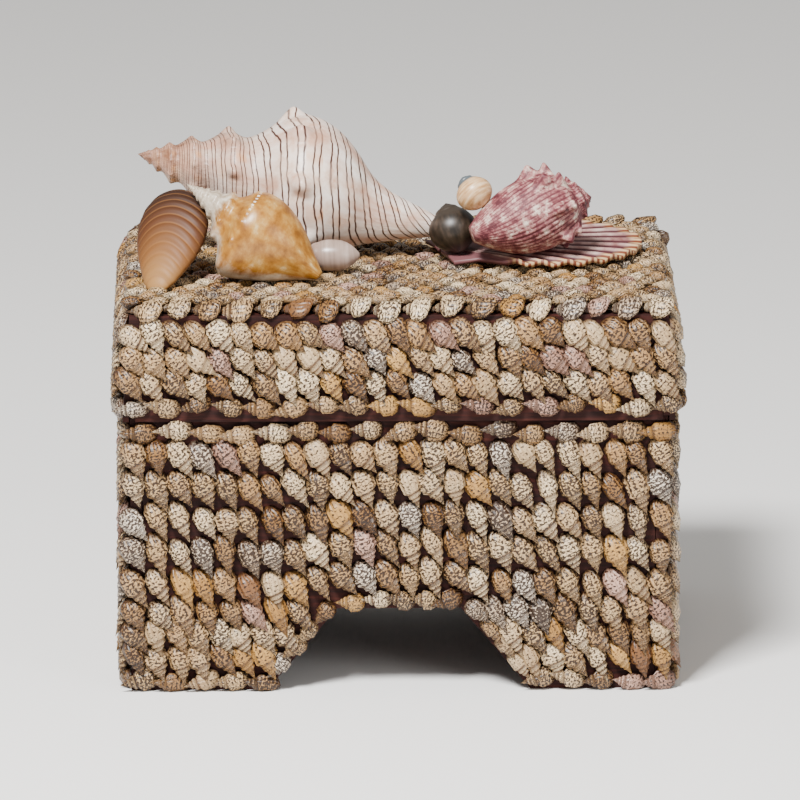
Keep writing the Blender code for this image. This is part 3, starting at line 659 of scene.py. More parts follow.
def whorled(shape, rings, around):
    """Points (rings, around + 1, 3) of a snail's shell, with the winding and the place of each.

    The radius at a place is the profile's. It is less in the groove by a cosine of the phase,
    more where the cosine of the turn raises a knob near the shoulder, lower towards the apex,
    more on the fine cords, a cosine of the turn that twists a little along the shell, and
    more at the lip, from its start down to the foot. The foot bends aside. The winding is
    the phase on the spire, and past the last shoulder it grows evenly along the shell. The
    first and last columns are the same line, underneath, where the mouth ends.
    """
    places = 0.004 + 0.992 * np.linspace(0, 1, rings) ** 1.25
    place, turn = np.meshgrid(places, np.linspace(0, 1, around + 1), indexing="ij")
    growth = shape["growth"]
    last = shape["shoulder"] * growth ** (turn - 1)
    phase = np.log(place / last) / math.log(growth)
    within = phase - np.floor(phase)
    falling = 0.5 + 0.5 * np.cos(np.pi * within / SUTURE_PHASE)
    rising = 0.5 - 0.5 * np.cos(np.pi * (within - SUTURE_PHASE) / (1 - SUTURE_PHASE))
    whorl = np.where(within < SUTURE_PHASE, falling, rising)
    whorl = np.where(phase > 0, 0.5 + 0.5 * np.exp(-((phase / 0.5) ** 2)), whorl)
    suture = shape["suture"] * np.clip(place / 0.05, 0, 1)
    radius = smooth_profile(shape["stations"], place) * (1 + suture * (whorl - 1))
    even_growth = shape["shoulder"] * growth**-0.25 * math.log(growth)
    winding = np.where(phase > 0, (place - last) / even_growth, phase)
    knobs = shape.get("knobs", 1)
    bump = np.maximum(0.0, np.cos(2 * np.pi * knobs * turn)) ** shape.get("sharpness", 2)
    bump = np.where(turn < 1 - 0.5 / knobs, bump, 0.0)
    from_shoulder = np.where(phase > 0, phase, phase - np.round(phase))
    knob_width = shape.get("knob_width", 0.13)
    rows = np.exp(-((from_shoulder / knob_width) ** 2))
    if "second_row" in shape:
        rows = rows + 0.8 * np.exp(-(((phase - shape["second_row"]) / knob_width) ** 2))
    knob_height = shape.get("knob_height", 0.0) * np.clip(place / KNOB_FULL, 0.35, 1.0)
    radius = radius * (1 + knob_height * bump * rows)
    cord_turns = shape.get("cords", 0) * (turn + CORD_TWIST * winding)
    radius = radius * (1 + shape.get("cord_height", 0.0) * np.cos(2 * np.pi * cord_turns))
    begun = np.clip((place - shape.get("lip_start", 0.0)) / 0.06, 0.0, 1.0)
    ending = np.clip((1.0 - place) / 0.5, 0.0, 1.0)
    lip = shape.get("lip", 0.0) * begun * ending * np.exp(-(((turn - LIP_TURN) / LIP_WIDTH) ** 2))
    radius = radius * (1 + lip)
    bend = np.clip((place - CANAL_START) / (CANAL_END - CANAL_START), 0.0, 1.0)
    aside = shape.get("canal_bend", 0.0) * bend**2 * (3 - 2 * bend)
    angle = 2 * np.pi * turn
    points = np.stack([place, radius * np.sin(angle), -radius * np.cos(angle) - aside], axis=-1)
    return shape["length"] * points, winding, place, turn


# %% From a grid to a closed shell, laid in its place
def closed_tube(grid, first, last, u, v):
    """A grid of rings, closed round and with a point at each end: its points, faces and UVs."""
    rings, columns = grid.shape[0], grid.shape[1] - 1
    points = np.concatenate([grid[:, :-1].reshape(-1, 3), [first], [last]])
    k, j = np.meshgrid(np.arange(rings - 1), np.arange(columns), indexing="ij")
    near, far, after = k * columns, (k + 1) * columns, (j + 1) % columns
    quads = np.stack([near + j, far + j, far + after, near + after], -1)
    uv = np.stack([u, v], axis=-1)
    quad_uv = np.stack([uv[k, j], uv[k + 1, j], uv[k + 1, j + 1], uv[k, j + 1]], axis=-2)
    i, base, top = np.arange(columns), (rings - 1) * columns, rings * columns
    wrap = (i + 1) % columns
    start = np.stack([np.full(columns, top), i, wrap], -1)
    end = np.stack([np.full(columns, top + 1), base + wrap, base + i], -1)
    start_uv = np.stack([uv[0, i], uv[0, i], uv[0, i + 1]], axis=-2)
    end_uv = np.stack([uv[-1, i], uv[-1, i + 1], uv[-1, i]], axis=-2)
    groups = [quads.reshape(-1, 4), np.concatenate([start, end])]
    return points, groups, [quad_uv.reshape(-1, 4, 2), np.concatenate([start_uv, end_uv])]


def from_left(across, back, up):
    """A point measured from the lid's front left corner."""
    return np.array([-HALF_WIDTH + across, -HALF_DEPTH + back, LID_TOP + up])


def from_right(across, back, up):
    """A point measured from the lid's front right corner."""
    return np.array([HALF_WIDTH - across, -HALF_DEPTH + back, LID_TOP + up])


def turned(points, start, end, roll_deg):
    """Points turned so that their X line runs from start to end, rolled about it, and its direction."""
    ahead = (end - start) / np.linalg.norm(end - start)
    side = np.cross([0, 0, 1], ahead)
    side = side / np.linalg.norm(side)
    raised = np.cross(ahead, side)
    c, s = math.cos(math.radians(roll_deg)), math.sin(math.radians(roll_deg))
    roll = np.array([[1, 0, 0], [0, c, -s], [0, s, c]])
    return points @ roll.T @ np.array([ahead, side, raised]), ahead


def laid(points, start, end, roll_deg, node_name):
    """Turned points with their origin on the node's apex, its point furthest back along the line."""
    points, ahead = turned(points, start, end, roll_deg)
    corners = np.array([corner.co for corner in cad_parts[node_name].data.vertices])
    return points + corners[np.argmin(corners @ ahead)]


def add_snail(name, shape, finish, slot, node_name):
    """Builds a shell from its shape, lays it in its node's place and adds it as a piece."""
    grid, winding, place, turn = whorled(shape, *shape["grid"])
    foot = (shape["length"], 0.0, -shape["length"] * shape.get("canal_bend", 0.0))
    points, groups, uv = closed_tube(grid, (0, 0, 0), foot, turn, winding)
    mesh = new_mesh(node_name, laid(points, *shape["laid"], node_name), groups, uv)
    set_values(mesh, "place", np.concatenate([place[:, :-1].ravel(), [0.0, 1.0]]))
    return add_piece(name, mesh, finish, slot, node_name)


# %% [markdown]
# ### The striped whelk
#
# The largest shell: ivory, with a row of blunt knobs on every whorl and thin dark brown
# lines in pairs that wind round it. The lines are drawn in the winding, so they follow the
# whorls. The pairs stand about 7.5 mm apart on the last whorl, five to a turn of growth.

# %% The whelk's finish
WHELK = {
    "length": 137 * MM,
    "stations": (
        (0.0, 0.0), (0.10, 0.058), (0.21, 0.105), (0.30, 0.138), (0.40, 0.180),
        (0.46, 0.214), (0.52, 0.232), (0.58, 0.226), (0.635, 0.204), (0.685, 0.172),
        (0.735, 0.128), (0.80, 0.094), (0.88, 0.066), (0.95, 0.044), (1.0, 0.026),
    ),
    "growth": 1.71,
    "shoulder": 0.59,
    "suture": 0.20,
    "knobs": 8,
    "knob_height": 0.155,
    "canal_bend": 0.040,
    "grid": (240, 200),
    "laid": (from_left(3.3 * MM, 91.5 * MM, 50.5 * MM), from_left(133.5 * MM, 90.5 * MM, 23.5 * MM), -14),
}


def striped_whelk_finish():
    """Ivory clouds, a brown spire, rosy streaks, tan flames and lines in pairs, one over the other."""
    made, shader, add = new_material("striped_whelk_shell", 0.42, 0.45)
    where = add("TexCoord").outputs["Object"]
    unwound = add("UVMap", uv_map="pattern")
    pattern = add("SeparateXYZ", {"Vector": unwound})
    turn, phase = pattern.outputs["X"], pattern.outputs["Y"]
    place = add("Attribute", attribute_name="place").outputs["Fac"]

    # ground: ivory, with rosy and tan clouds 15 mm across, and browner towards the apex
    cloud = add("TexNoise", {"Vector": where, "Scale": 70.0, "Detail": 4.0, "Roughness": 0.6})
    ivory = add(
        "ValToRGB", {"Fac": cloud},
        stops=[(0.30, "C49A80"), (0.43, "E4CDBC"), (0.58, "F3E9DF"), (0.74, "E0BFA4")],
    )
    spire = add("MapRange", {"Value": place, "From Min": 0.46, "From Max": 0.12})
    spire_colour = add(
        "ValToRGB", {"Fac": cloud},
        stops=[(0.38, "54301C"), (0.50, "8C6046"), (0.64, "C09A7C")],
    )

    # rosy tan streaks along the shell, each about a tenth of a turn wide
    streaks = add("Mapping", {"Vector": unwound, "Scale": (9.0, 0.8, 1.0)})
    streak = add("TexNoise", {"Vector": streaks, "Scale": 1.0, "Detail": 3.0, "Roughness": 0.6})
    streak = add("MapRange", {"Value": streak, "From Min": 0.42, "From Max": 0.64, "To Max": 0.8})

    # tan flames between the knobs
    wave = add("Math", {0: turn, 1: 8.0}, operation="MULTIPLY")
    beat = add("Math", {0: wave, 1: 2 * math.pi}, operation="MULTIPLY")
    between = add("Math", {0: beat}, operation="COSINE")
    gap = add("MapRange", {"Value": between, "From Min": -0.2, "From Max": -1.0})
    whorl = add("Math", {0: phase}, operation="FRACT")
    near = add("Math", {0: whorl, 1: 0.16, 2: 0.10}, operation="COMPARE")
    rough = add("MapRange", {"Value": cloud, "From Min": 0.42, "From Max": 0.62})
    flame = add("Math", {0: gap, 1: rough}, operation="MULTIPLY")
    flame = add("Math", {0: flame, 1: near}, operation="MULTIPLY")
    flame = add("Math", {0: flame, 1: 0.8}, operation="MULTIPLY")

    # lines in pairs, five pairs to a turn of growth, which wander a little
    wander = add("TexNoise", {"Vector": where, "Scale": 45.0, "Detail": 1.0})
    shiver = add("TexNoise", {"Vector": where, "Scale": 240.0, "Detail": 1.0})
    pairs = add("Math", {0: phase, 1: 5.0}, operation="MULTIPLY")
    pairs = add("Math", {0: wander, 1: 0.8, 2: pairs}, operation="MULTIPLY_ADD")
    pairs = add("Math", {0: shiver, 1: 0.16, 2: pairs}, operation="MULTIPLY_ADD")
    beat = add("Math", {0: pairs}, operation="FRACT")
    off = add("Math", {0: beat, 1: 0.5}, operation="SUBTRACT")
    off = add("Math", {0: off}, operation="ABSOLUTE")
    off = add("Math", {0: off, 1: 0.19}, operation="SUBTRACT")
    off = add("Math", {0: off}, operation="ABSOLUTE")
    line = add("MapRange", {"Value": off, "From Min": 0.070, "From Max": 0.034})
    fade = add("MapRange", {"Value": cloud, "From Min": 0.34, "From Max": 0.46, "To Min": 0.6, "To Max": 1.0})
    line = add("Math", {0: line, 1: fade}, operation="MULTIPLY")
    painted = ivory
    for amount, tone in ((spire, spire_colour), (streak, "BD9078"), (flame, "CF9464"), (line, "40241B")):
        painted = add("Mix", {"Factor_Float": amount, "A_Color": painted, "B_Color": tone}, data_type="RGBA")

    # growth lines along the shell and fine threads round it
    fine = add("Mapping", {"Vector": unwound, "Scale": (60.0, 6.0, 1.0)})
    wrinkle = add("TexNoise", {"Vector": fine, "Scale": 1.0, "Detail": 3.0})
    lift = add("Bump", {"Height": wrinkle, "Strength": 0.5, "Distance": 0.0006})
    fill(shader, {"Base Color": painted, "Normal": lift})
    return made


add_snail("whelk", WHELK, striped_whelk_finish(), "whelk_shell", "striped_whelk")

# %% [markdown]
# ### The amber conch
#
# A fighting conch: a white spire with small knobs, an amber last whorl worn pale in
# patches, and a row of small white marks below its shoulder.

# %% The conch
CONCH = {
    "length": 70 * MM,
    "stations": (
        (0.0, 0.0), (0.10, 0.045), (0.18, 0.080), (0.25, 0.112), (0.32, 0.150),
        (0.38, 0.196), (0.44, 0.246), (0.50, 0.272), (0.58, 0.272), (0.68, 0.240),
        (0.78, 0.188), (0.88, 0.115), (1.0, 0.030),
    ),
    "growth": 1.45,
    "shoulder": 0.47,
    "suture": 0.18,
    "knobs": 12,
    "knob_height": 0.06,
    "lip": 0.34,
    "lip_start": 0.24,
    "grid": (170, 160),
    "laid": (from_left(24.7 * MM, 54.0 * MM, 42.8 * MM), from_left(80.5 * MM, 37.5 * MM, 6.5 * MM), -20),
}


def amber_conch_finish():
    """Amber streaks, white where the shell is worn, and a row of marks below the shoulder."""
    made, shader, add = new_material("amber_conch_shell", 0.33, 0.5)
    where = add("TexCoord").outputs["Object"]
    place = add("Attribute", attribute_name="place").outputs["Fac"]
    unwound = add("UVMap", uv_map="pattern")
    pattern = add("SeparateXYZ", {"Vector": unwound})
    turn, winding = pattern.outputs["X"], pattern.outputs["Y"]

    # streaks along the shell, four times as long as they are wide
    fine = add("TexNoise", {"Vector": where, "Scale": 95.0, "Detail": 5.0, "Roughness": 0.65})
    drawn = add("Mapping", {"Vector": unwound, "Scale": (17.0, 2.0, 1.0)})
    streak = add("TexNoise", {"Vector": drawn, "Scale": 1.0, "Detail": 4.0, "Roughness": 0.6})
    cloud = add("Mix", {"Factor_Float": 0.6, "A_Float": fine, "B_Float": streak}, data_type="FLOAT")
    amber = add(
        "ValToRGB", {"Fac": cloud},
        stops=[(0.38, "78480F"), (0.49, "9A6724"), (0.58, "AE823F"), (0.70, "CDB684")],
    )

    # white where the shell is worn: the spire, and the lip underneath
    body = add("MapRange", {"Value": place, "From Min": 0.20, "From Max": 0.36})
    lip = add("MapRange", {"Value": turn, "From Min": 0.95, "From Max": 0.85})
    worn = add("Math", {0: body, 1: lip}, operation="MULTIPLY")
    edge = add("Math", {0: cloud, 1: 0.5}, operation="SUBTRACT")
    worn = add("Math", {0: edge, 1: -1.6, 2: worn}, operation="MULTIPLY_ADD")
    worn = add("MapRange", {"Value": worn, "From Min": 0.25, "From Max": 0.65})
    white = add("ValToRGB", {"Fac": cloud}, stops=[(0.35, "7E6D5A"), (0.5, "AA9A86"), (0.68, "D2C6B4")])
    ground = add("Mix", {"Factor_Float": worn, "A_Color": white, "B_Color": amber}, data_type="RGBA")

    # a row of white marks below the shoulder, 44 in a turn
    beat = add("Math", {0: turn, 1: 44 * 2 * math.pi}, operation="MULTIPLY")
    beat = add("Math", {0: beat}, operation="SINE")
    near = add("Math", {0: winding, 1: 0.10, 2: 0.045}, operation="COMPARE")
    mark = add("MapRange", {"Value": beat, "From Min": 0.1, "From Max": 0.5, "To Max": 0.85})
    shown = add("MapRange", {"Value": turn, "From Min": 0.74, "From Max": 0.66})
    mark = add("Math", {0: mark, 1: near}, operation="MULTIPLY")
    mark = add("Math", {0: mark, 1: shown}, operation="MULTIPLY")
    ground = add("Mix", {"Factor_Float": mark, "A_Color": ground, "B_Color": "F2E8D8"}, data_type="RGBA")
    lift = add("Bump", {"Height": cloud, "Strength": 0.3, "Distance": 0.0005})
    fill(shader, {"Base Color": ground, "Normal": lift})
    return made


add_snail("conch", CONCH, amber_conch_finish(), "conch_shell", "amber_conch")

# %% [markdown]
# ### The rose drupe
#
# A knobbly round shell, worn to rose and white, with blunt knobs in rows and fine maroon
# cords that run along its body and meet at both ends.

# %% The drupe
DRUPE = {
    "length": 56 * MM,
    "stations": (
        (0.0, 0.0), (0.10, 0.14), (0.22, 0.23), (0.36, 0.29), (0.50, 0.305),
        (0.64, 0.285), (0.78, 0.225), (0.90, 0.15), (1.0, 0.07),
    ),
    "growth": 2.0,
    "shoulder": 0.36,
    "suture": 0.14,
    "knobs": 7,
    "knob_height": 0.44,
    "sharpness": 1.6,
    "knob_width": 0.25,
    "second_row": 0.62,
    "lip": 0.05,
    "cords": 46,
    "cord_height": 0.014,
    "grid": (170, 322),
    "laid": (from_right(30.5 * MM, 75.0 * MM, 34.0 * MM), from_right(79.5 * MM, 60.0 * MM, 22.0 * MM), 0),
}


def rose_drupe_finish():
    """Worn rose clouds with dark cords, a cosine of the turn with the shell's own twist."""
    made, shader, add = new_material("worn_rose_drupe_shell", 0.55, 0.35)
    where = add("TexCoord").outputs["Object"]
    pattern = add("SeparateXYZ", {"Vector": add("UVMap", uv_map="pattern")})
    cloud = add("TexNoise", {"Vector": where, "Scale": 190.0, "Detail": 5.0, "Roughness": 0.7})
    rose = add(
        "ValToRGB", {"Fac": cloud},
        stops=[(0.36, "4A1E24"), (0.46, "824A4C"), (0.55, "AC7C76"), (0.66, "D8C8B8")],
    )
    twist = add(
        "Math", {0: pattern.outputs["Y"], 1: CORD_TWIST, 2: pattern.outputs["X"]},
        operation="MULTIPLY_ADD",
    )
    cords = add("Math", {0: twist, 1: 2 * math.pi * DRUPE["cords"]}, operation="MULTIPLY")
    cords = add("Math", {0: cords}, operation="COSINE")
    dark = add("MapRange", {"Value": cords, "From Min": -0.1, "From Max": -0.8, "To Max": 0.85})
    left = add("MapRange", {"Value": cloud, "From Min": 0.66, "From Max": 0.52})
    dark = add("Math", {0: dark, 1: left}, operation="MULTIPLY")
    corded = add("Mix", {"Factor_Float": dark, "A_Color": rose, "B_Color": "542029"}, data_type="RGBA")
    lift = add("Bump", {"Height": cords, "Strength": 0.4, "Distance": 0.0003})
    worn = add("Bump", {"Height": cloud, "Strength": 0.6, "Distance": 0.001, "Normal": lift})
    fill(shader, {"Base Color": corded, "Normal": worn})
    return made


add_snail("drupe", DRUPE, rose_drupe_finish(), "drupe_shell", "rose_drupe")

# %% [markdown]
# ### Three small round shells
#
# A dark olive moon snail with fine lines, a buff turban with a grey spire, and a pale,
# smooth shell like a pebble.

# %% The small round shells
MOON = {
    "length": 22.5 * MM,
    "stations": (
        (0.0, 0.0), (0.08, 0.16), (0.22, 0.32), (0.42, 0.46), (0.60, 0.48),
        (0.78, 0.40), (0.92, 0.22), (1.0, 0.08),
    ),
    "growth": 2.6,
    "shoulder": 0.40,
    "suture": 0.08,
    "grid": (80, 96),
    "laid": (from_right(93.5 * MM, 78.5 * MM, 30 * MM), from_right(87.5 * MM, 70.5 * MM, 10 * MM), 0),
}
TURBAN = {
    "length": 16.5 * MM,
    "stations": (
        (0.0, 0.0), (0.08, 0.16), (0.24, 0.31), (0.43, 0.47), (0.62, 0.51),
        (0.81, 0.42), (0.94, 0.23), (1.0, 0.06),
    ),
    "growth": 2.1,
    "shoulder": 0.38,
    "suture": 0.10,
    "grid": (80, 96),
    "laid": (from_right(86.5 * MM, 71.5 * MM, 42 * MM), from_right(76.5 * MM, 61.5 * MM, 30 * MM), 0),
}
PEBBLE = {
    "length": 23.5 * MM,
    "stations": (
        (0.0, 0.0), (0.06, 0.13), (0.25, 0.25), (0.5, 0.29), (0.78, 0.23), (0.95, 0.10),
        (1.0, 0.04),
    ),
    "growth": 4.0,
    "shoulder": 0.10,
    "suture": 0.0,
    "grid": (60, 80),
    "laid": (from_left(75.5 * MM, 56 * MM, 0), from_left(99 * MM, 55 * MM, 0), 0),
}


def smooth_snail_finish(name, stops, roughness, streaks, spire):
    """A smooth glossy shell: streaks across the whorl over a ground that differs at the spire."""
    made, shader, add = new_material(name, roughness, 0.5)
    pattern = add("UVMap", uv_map="pattern")
    place = add("Attribute", attribute_name="place").outputs["Fac"]
    drawn = add("Mapping", {"Vector": pattern, "Scale": streaks})
    noise = add("TexNoise", {"Vector": drawn, "Scale": 1.0, "Detail": 3.0})
    ground = add("ValToRGB", {"Fac": noise}, stops=stops)
    near = add("MapRange", {"Value": place, "From Min": 0.30, "From Max": 0.22})
    mixed = add("Mix", {"Factor_Float": near, "A_Color": ground, "B_Color": spire}, data_type="RGBA")
    fill(shader, {"Base Color": mixed})
    return made


moon_finish = smooth_snail_finish(
    "polished_moon_snail_shell",
    [(0.35, "17110B"), (0.5, "2A2118"), (0.68, "40342A")],
    0.42, (26.0, 1.2, 1.0), "30271E",
)
turban_finish = smooth_snail_finish(
    "buff_turban_shell",
    [(0.35, "A87E52"), (0.5, "C79F72"), (0.7, "DCC09A")],
    0.32, (6.0, 3.0, 1.0), "535A5E",
)
pebble_finish = smooth_snail_finish(
    "pale_pebble_shell",
    [(0.35, "857064"), (0.5, "9C877B"), (0.7, "B8A498")],
    0.3, (0.8, 0.8, 1.0), "8F7668",
)
add_snail("moon_snail", MOON, moon_finish, "moon_shell", "dark_moon_snail")
add_snail("turban", TURBAN, turban_finish, "turban_shell", "buff_turban")
add_snail("pebble", PEBBLE, pebble_finish, "pebble_shell", "pale_pebble_shell")

# %% [markdown]
# ### The brown clam
#
# Both valves together, beak down. A clam grows by adding rings at its edge, so the rings
# are its natural grid: each is an oval about the line from beak to edge.

# %% The clam
CLAM_LENGTH, CLAM_WIDTH, CLAM_THICKNESS = 55 * MM, 32 * MM, 18 * MM
CLAM_OUTLINE = (
    (0.0, 0.10), (0.10, 0.36), (0.24, 0.58), (0.45, 0.86), (0.62, 0.99), (0.74, 0.99),
    (0.85, 0.87), (0.94, 0.60), (1.0, 0.20),
)
CLAM_STEPS, CLAM_STEP, CLAM_BOW, CLAM_LEAN = 12, 0.022, 0.15, 0.03


def clam_grid(rings, around):
    """Ovals about the growth line, as wide as the outline says at their place.

    Each ring is bowed towards the edge in the middle of both valves, by the square of the
    sine of its angle, and the radius steps a little with each season's growth.
    """
    places = (np.arange(rings) + 0.6) / (rings + 0.1)
    place, turn = np.meshgrid(places, np.linspace(0, 1, around + 1), indexing="ij")
    angle = 2 * np.pi * turn
    swell = smooth_profile(CLAM_OUTLINE, place)
    bow = CLAM_BOW * 4 * place * (1 - place) * (np.sin(angle) ** 2 - 0.5)
    step = 1 + CLAM_STEP * (place * CLAM_STEPS % 1.0 - 0.5)
    leaning = -CLAM_LEAN * CLAM_LENGTH * np.sin(np.pi * place)
    grid = np.stack(
        [
            CLAM_LENGTH * (place + bow),
            0.5 * CLAM_WIDTH * swell * step * np.cos(angle) + leaning,
            0.5 * CLAM_THICKNESS * swell * step * np.sin(angle) * (1.2 - 0.45 * place),
        ],
        axis=-1,
    )
    return grid, place, turn


def brown_clam_finish():
    """Darker from beak to edge, with a light line where the sine of the place peaks."""
    made, shader, add = new_material("ringed_clam_shell", 0.55, 0.3)
    where = add("TexCoord").outputs["Object"]
    place = add("Attribute", attribute_name="place").outputs["Fac"]
    tone = add(
        "ValToRGB", {"Fac": place},
        stops=[(0.0, "A07644"), (0.3, "744A24"), (0.55, "4E2B13"), (0.8, "31190A"), (1.0, "200E06")],
    )
    wobble = add("TexNoise", {"Vector": where, "Scale": 60.0, "Detail": 2.0})
    rings = add("Math", {0: wobble, 1: 1.6}, operation="MULTIPLY")
    rings = add("Math", {0: place, 1: 2 * math.pi * CLAM_STEPS, 2: rings}, operation="MULTIPLY_ADD")
    rings = add("Math", {0: rings}, operation="SINE")
    light = add("MapRange", {"Value": rings, "From Min": 0.7, "From Max": 1.0, "To Max": 0.42})
    ringed = add("Mix", {"Factor_Float": light, "A_Color": tone, "B_Color": "85592F"}, data_type="RGBA")
    lift = add("Bump", {"Height": rings, "Strength": 0.4, "Distance": 0.0004})
    fill(shader, {"Base Color": ringed, "Normal": lift})
    return made


grid, place, turn = clam_grid(110, 120)
points, groups, uv = closed_tube(grid, (0, 0, 0), (CLAM_LENGTH, 0, 0), turn, place)
beak, lip = from_left(11 * MM, 28 * MM, 8 * MM), from_left(21.5 * MM, 69.5 * MM, 45 * MM)
clam = new_mesh("brown_clam", laid(points, beak, lip, -12, "brown_clam"), groups, uv)
set_values(clam, "place", np.concatenate([place[:, :-1].ravel(), [0.0, 1.0]]))
add_piece("clam", clam, brown_clam_finish(), "clam_shell", "brown_clam")

# %% [markdown]
# ### The scallop
#
# A ribbed fan that lies flat under the snails at the right. Rings run from the hinge to
# the edge, columns run along the ribs, and a thin wall joins the top to the underside.

# %% The scallop
SCALLOP_LENGTH, SCALLOP_DOME, SCALLOP_WALL = 90 * MM, 2.7 * MM, 1.8 * MM
SCALLOP_RIBS, RIB_RISE, UNDER_RIB = 17, 1.9 * MM, 0.7
FAN_CENTRE, FAN_RADIUS, FAN_SWEEP = 0.55, 0.45, 135     # shares of the length, and degrees to a side


def scallop_grid(rows, columns):
    """A closed strip round the fan's section at each place: out along the top and back below.

    The edge is three quarters of a circle that closes on an ear at each side of the hinge. The
    top is a low dome plus ribs, a cosine across the fan that grows from the hinge outwards.
    """
    across = np.linspace(-1, 1, columns)
    turn = np.radians(FAN_SWEEP) * across
    disc = np.stack([FAN_CENTRE + FAN_RADIUS * np.cos(turn), FAN_RADIUS * np.sin(turn)], axis=-1)
    notch, ear = np.array([0.13, 0.215]), np.array([0.0, 0.24])
    mirror = np.array([1, -1])
    margin = np.concatenate([[ear * mirror, notch * mirror], disc, [notch, ear]])
    across = np.concatenate([[-1, -1], across, [1, 1]])
    reach = np.linspace(0.10, 1.0, rows)[:, None]
    plan = SCALLOP_LENGTH * reach[:, :, None] * margin
    dome = SCALLOP_DOME * np.sin(np.pi * reach**0.7) ** 0.8 * (1 - 0.6 * across**2)
    crest = 0.5 - 0.5 * np.cos(np.pi * (across + 1) * SCALLOP_RIBS)
    rib = RIB_RISE * reach * np.where(np.abs(across) < 1, crest, 0.0)
    return plan, dome, rib, across, reach


def scallop_mesh():
    """The fan's top and underside as two grids, joined by a wall round their rim, in the node's box."""
    plan, dome, rib, across, reach = scallop_grid(64, 310)
    top = np.dstack([plan, dome + rib + SCALLOP_WALL])
    under = np.dstack([plan, dome + UNDER_RIB * rib])
    rows, columns = dome.shape
    points = np.concatenate([top.reshape(-1, 3), under.reshape(-1, 3)])
    under_start = rows * columns
    k, c = np.meshgrid(np.arange(rows - 1), np.arange(columns - 1), indexing="ij")
    near, far = k * columns + c, (k + 1) * columns + c
    upper = np.stack([near, far, far + 1, near + 1], -1).reshape(-1, 4)
    lower = under_start + upper[:, ::-1]
    ring = np.concatenate([
        np.arange(columns),
        np.arange(1, rows) * columns + columns - 1,
        (rows - 1) * columns + np.arange(columns - 2, -1, -1),
        np.arange(rows - 2, 0, -1) * columns,
    ])
    after = np.roll(ring, -1)
    rim = np.stack([ring, after, under_start + after, under_start + ring], -1)
    faces = np.concatenate([upper, lower, rim])
    spread = np.stack(np.broadcast_arrays(across, reach), axis=-1).reshape(-1, 2)
    spread = np.concatenate([spread, spread])
    hinge, edge = from_right(96.0 * MM, 83.5 * MM, 0), from_right(9.5 * MM, 108.0 * MM, 0)
    flat, _ = turned(points, hinge, edge, 0)
    low, high = (np.array(corner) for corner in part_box("scallop"))
    move = (low + high) / 2 - (flat.min(axis=0) + flat.max(axis=0)) / 2
    move[2] = low[2] - flat[:, 2].min()
    return new_mesh("scallop", flat + move, [faces], [spread[faces]])


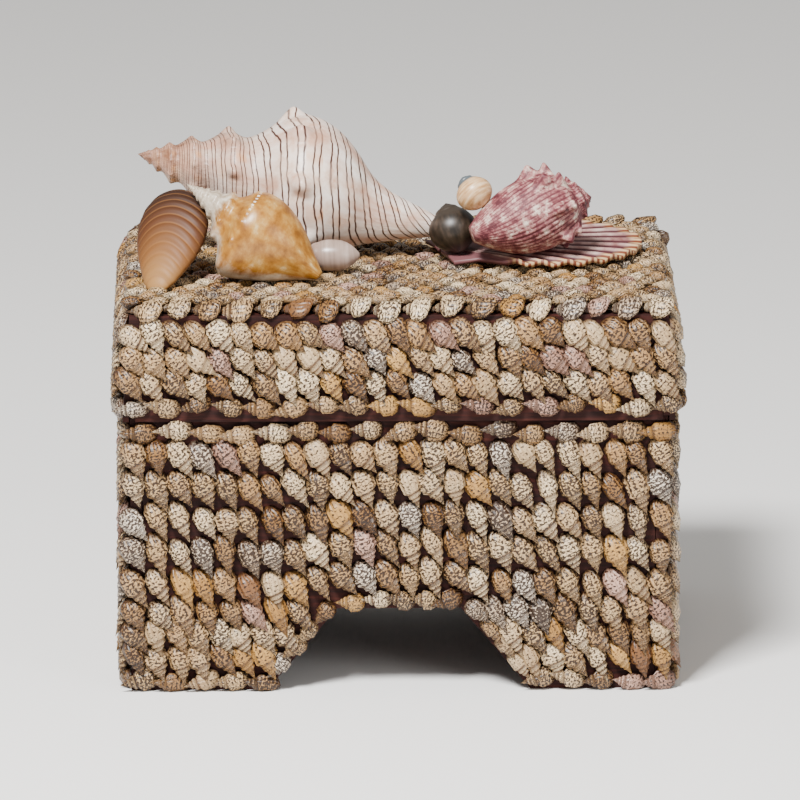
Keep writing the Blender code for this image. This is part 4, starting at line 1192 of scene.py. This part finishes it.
def scallop_finish():
    """Rosy ribs with painted shade in the hollows between them, a toothed edge, and smooth ears, by cosines
    across the fan.
    """
    made, shader, add = new_material("ribbed_scallop_shell", 0.5, 0.4)
    where = add("TexCoord").outputs["Object"]
    pattern = add("SeparateXYZ", {"Vector": add("UVMap", uv_map="pattern")})
    ribs = add("Math", {0: pattern.outputs["X"], 1: 1.0}, operation="ADD")
    ribs = add("Math", {0: ribs, 1: math.pi * SCALLOP_RIBS}, operation="MULTIPLY")
    ribs = add("Math", {0: ribs}, operation="COSINE")
    # painted shade: darker in the hollows between the ribs
    hollow_shade = add("MapRange", {"Value": ribs, "From Min": -0.55, "From Max": 0.2})
    cloud = add("TexNoise", {"Vector": where, "Scale": 120.0, "Detail": 4.0})
    crest = add("ValToRGB", {"Fac": cloud}, stops=[(0.35, "7E514C"), (0.5, "AB8780"), (0.7, "CFB9AF")])
    fan = add("Mix", {"Factor_Float": hollow_shade, "A_Color": crest, "B_Color": "42191F"}, data_type="RGBA")
    edge = add(
        "MapRange", {"Value": pattern.outputs["Y"], "From Min": 0.93, "From Max": 0.97, "To Max": 0.85},
    )
    teeth = add("Math", {0: pattern.outputs["X"], 1: 4 * math.pi * SCALLOP_RIBS}, operation="MULTIPLY")
    teeth = add("Math", {0: teeth}, operation="COSINE")
    tooth = add("MapRange", {"Value": teeth, "From Min": -0.3, "From Max": 0.3})
    zigzag = add("Mix", {"Factor_Float": tooth, "A_Color": "CBA878", "B_Color": "6E3517"}, data_type="RGBA")
    edged = add("Mix", {"Factor_Float": edge, "A_Color": fan, "B_Color": zigzag}, data_type="RGBA")
    # the ears and the hinge are smooth and rosy
    side = add("Math", {0: pattern.outputs["X"]}, operation="ABSOLUTE")
    ear = add("MapRange", {"Value": side, "From Min": 0.93, "From Max": 0.99})
    hinge = add("MapRange", {"Value": pattern.outputs["Y"], "From Min": 0.42, "From Max": 0.22})
    smooth = add("Math", {0: ear, 1: hinge}, operation="MAXIMUM")
    whole = add("Mix", {"Factor_Float": smooth, "A_Color": edged, "B_Color": "6B4345"}, data_type="RGBA")
    fill(shader, {"Base Color": whole})
    return made


add_piece("ribbed_scallop", scallop_mesh(), scallop_finish(), "scallop_shell", "scallop")

# %% [markdown]
# ## Studio
#
# A plain pale floor, a key panel above, in front and a little to the left, a weak and
# wider fill at the right, and a camera with a long lens, nearly level and square to the
# front.

# %% Floor, light and camera
bpy.ops.mesh.primitive_plane_add(size=8.0, location=(0, 0, 0))
floor = bpy.context.object
floor.name = "studio_floor"
floor_finish, floor_shader, _ = new_material("matt_white_paper", 0.8)
fill(floor_shader, {"Base Color": "F4F2EF"})
floor.data.materials.append(floor_finish)

world = bpy.data.worlds.new("studio")
world.use_nodes = True
fill(world.node_tree.nodes["Background"], {"Color": "FFFDFA", "Strength": 0.42})
bpy.context.scene.world = world


def aimed(data, name, place, target):
    """A lamp or camera at a place, turned so that it looks at a target."""
    made = bpy.data.objects.new(name, data)
    bpy.context.scene.collection.objects.link(made)
    made.location = place
    made.rotation_mode = "QUATERNION"
    made.rotation_quaternion = (Vector(target) - Vector(place)).to_track_quat("-Z", "Y")
    return made


def soft_panel(name, place, size, watts):
    """A square lamp with soft shadows, aimed at the middle of the box."""
    lamp = bpy.data.lights.new(name, "AREA")
    lamp.shape, lamp.size, lamp.energy = "SQUARE", size, watts
    return aimed(lamp, name, place, (0, 0, 0.1))


soft_panel("key_panel", (-0.40, -0.95, 1.50), 0.42, 78.0)
soft_panel("fill_panel", (1.4, -1.6, 0.9), 1.0, 14.0)

elevation, azimuth, distance = math.radians(13.84), math.radians(-0.99), 4.493
target = np.array([0.0018, 0.0, 0.1075])
back = np.array([
    math.sin(azimuth) * math.cos(elevation),
    -math.cos(azimuth) * math.cos(elevation),
    math.sin(elevation),
])
lens = bpy.data.cameras.new("camera")
lens.lens, lens.sensor_width = 464.7, 36.0
lens.clip_end = 50.0
bpy.context.scene.camera = aimed(lens, "camera", target + back * distance, target)
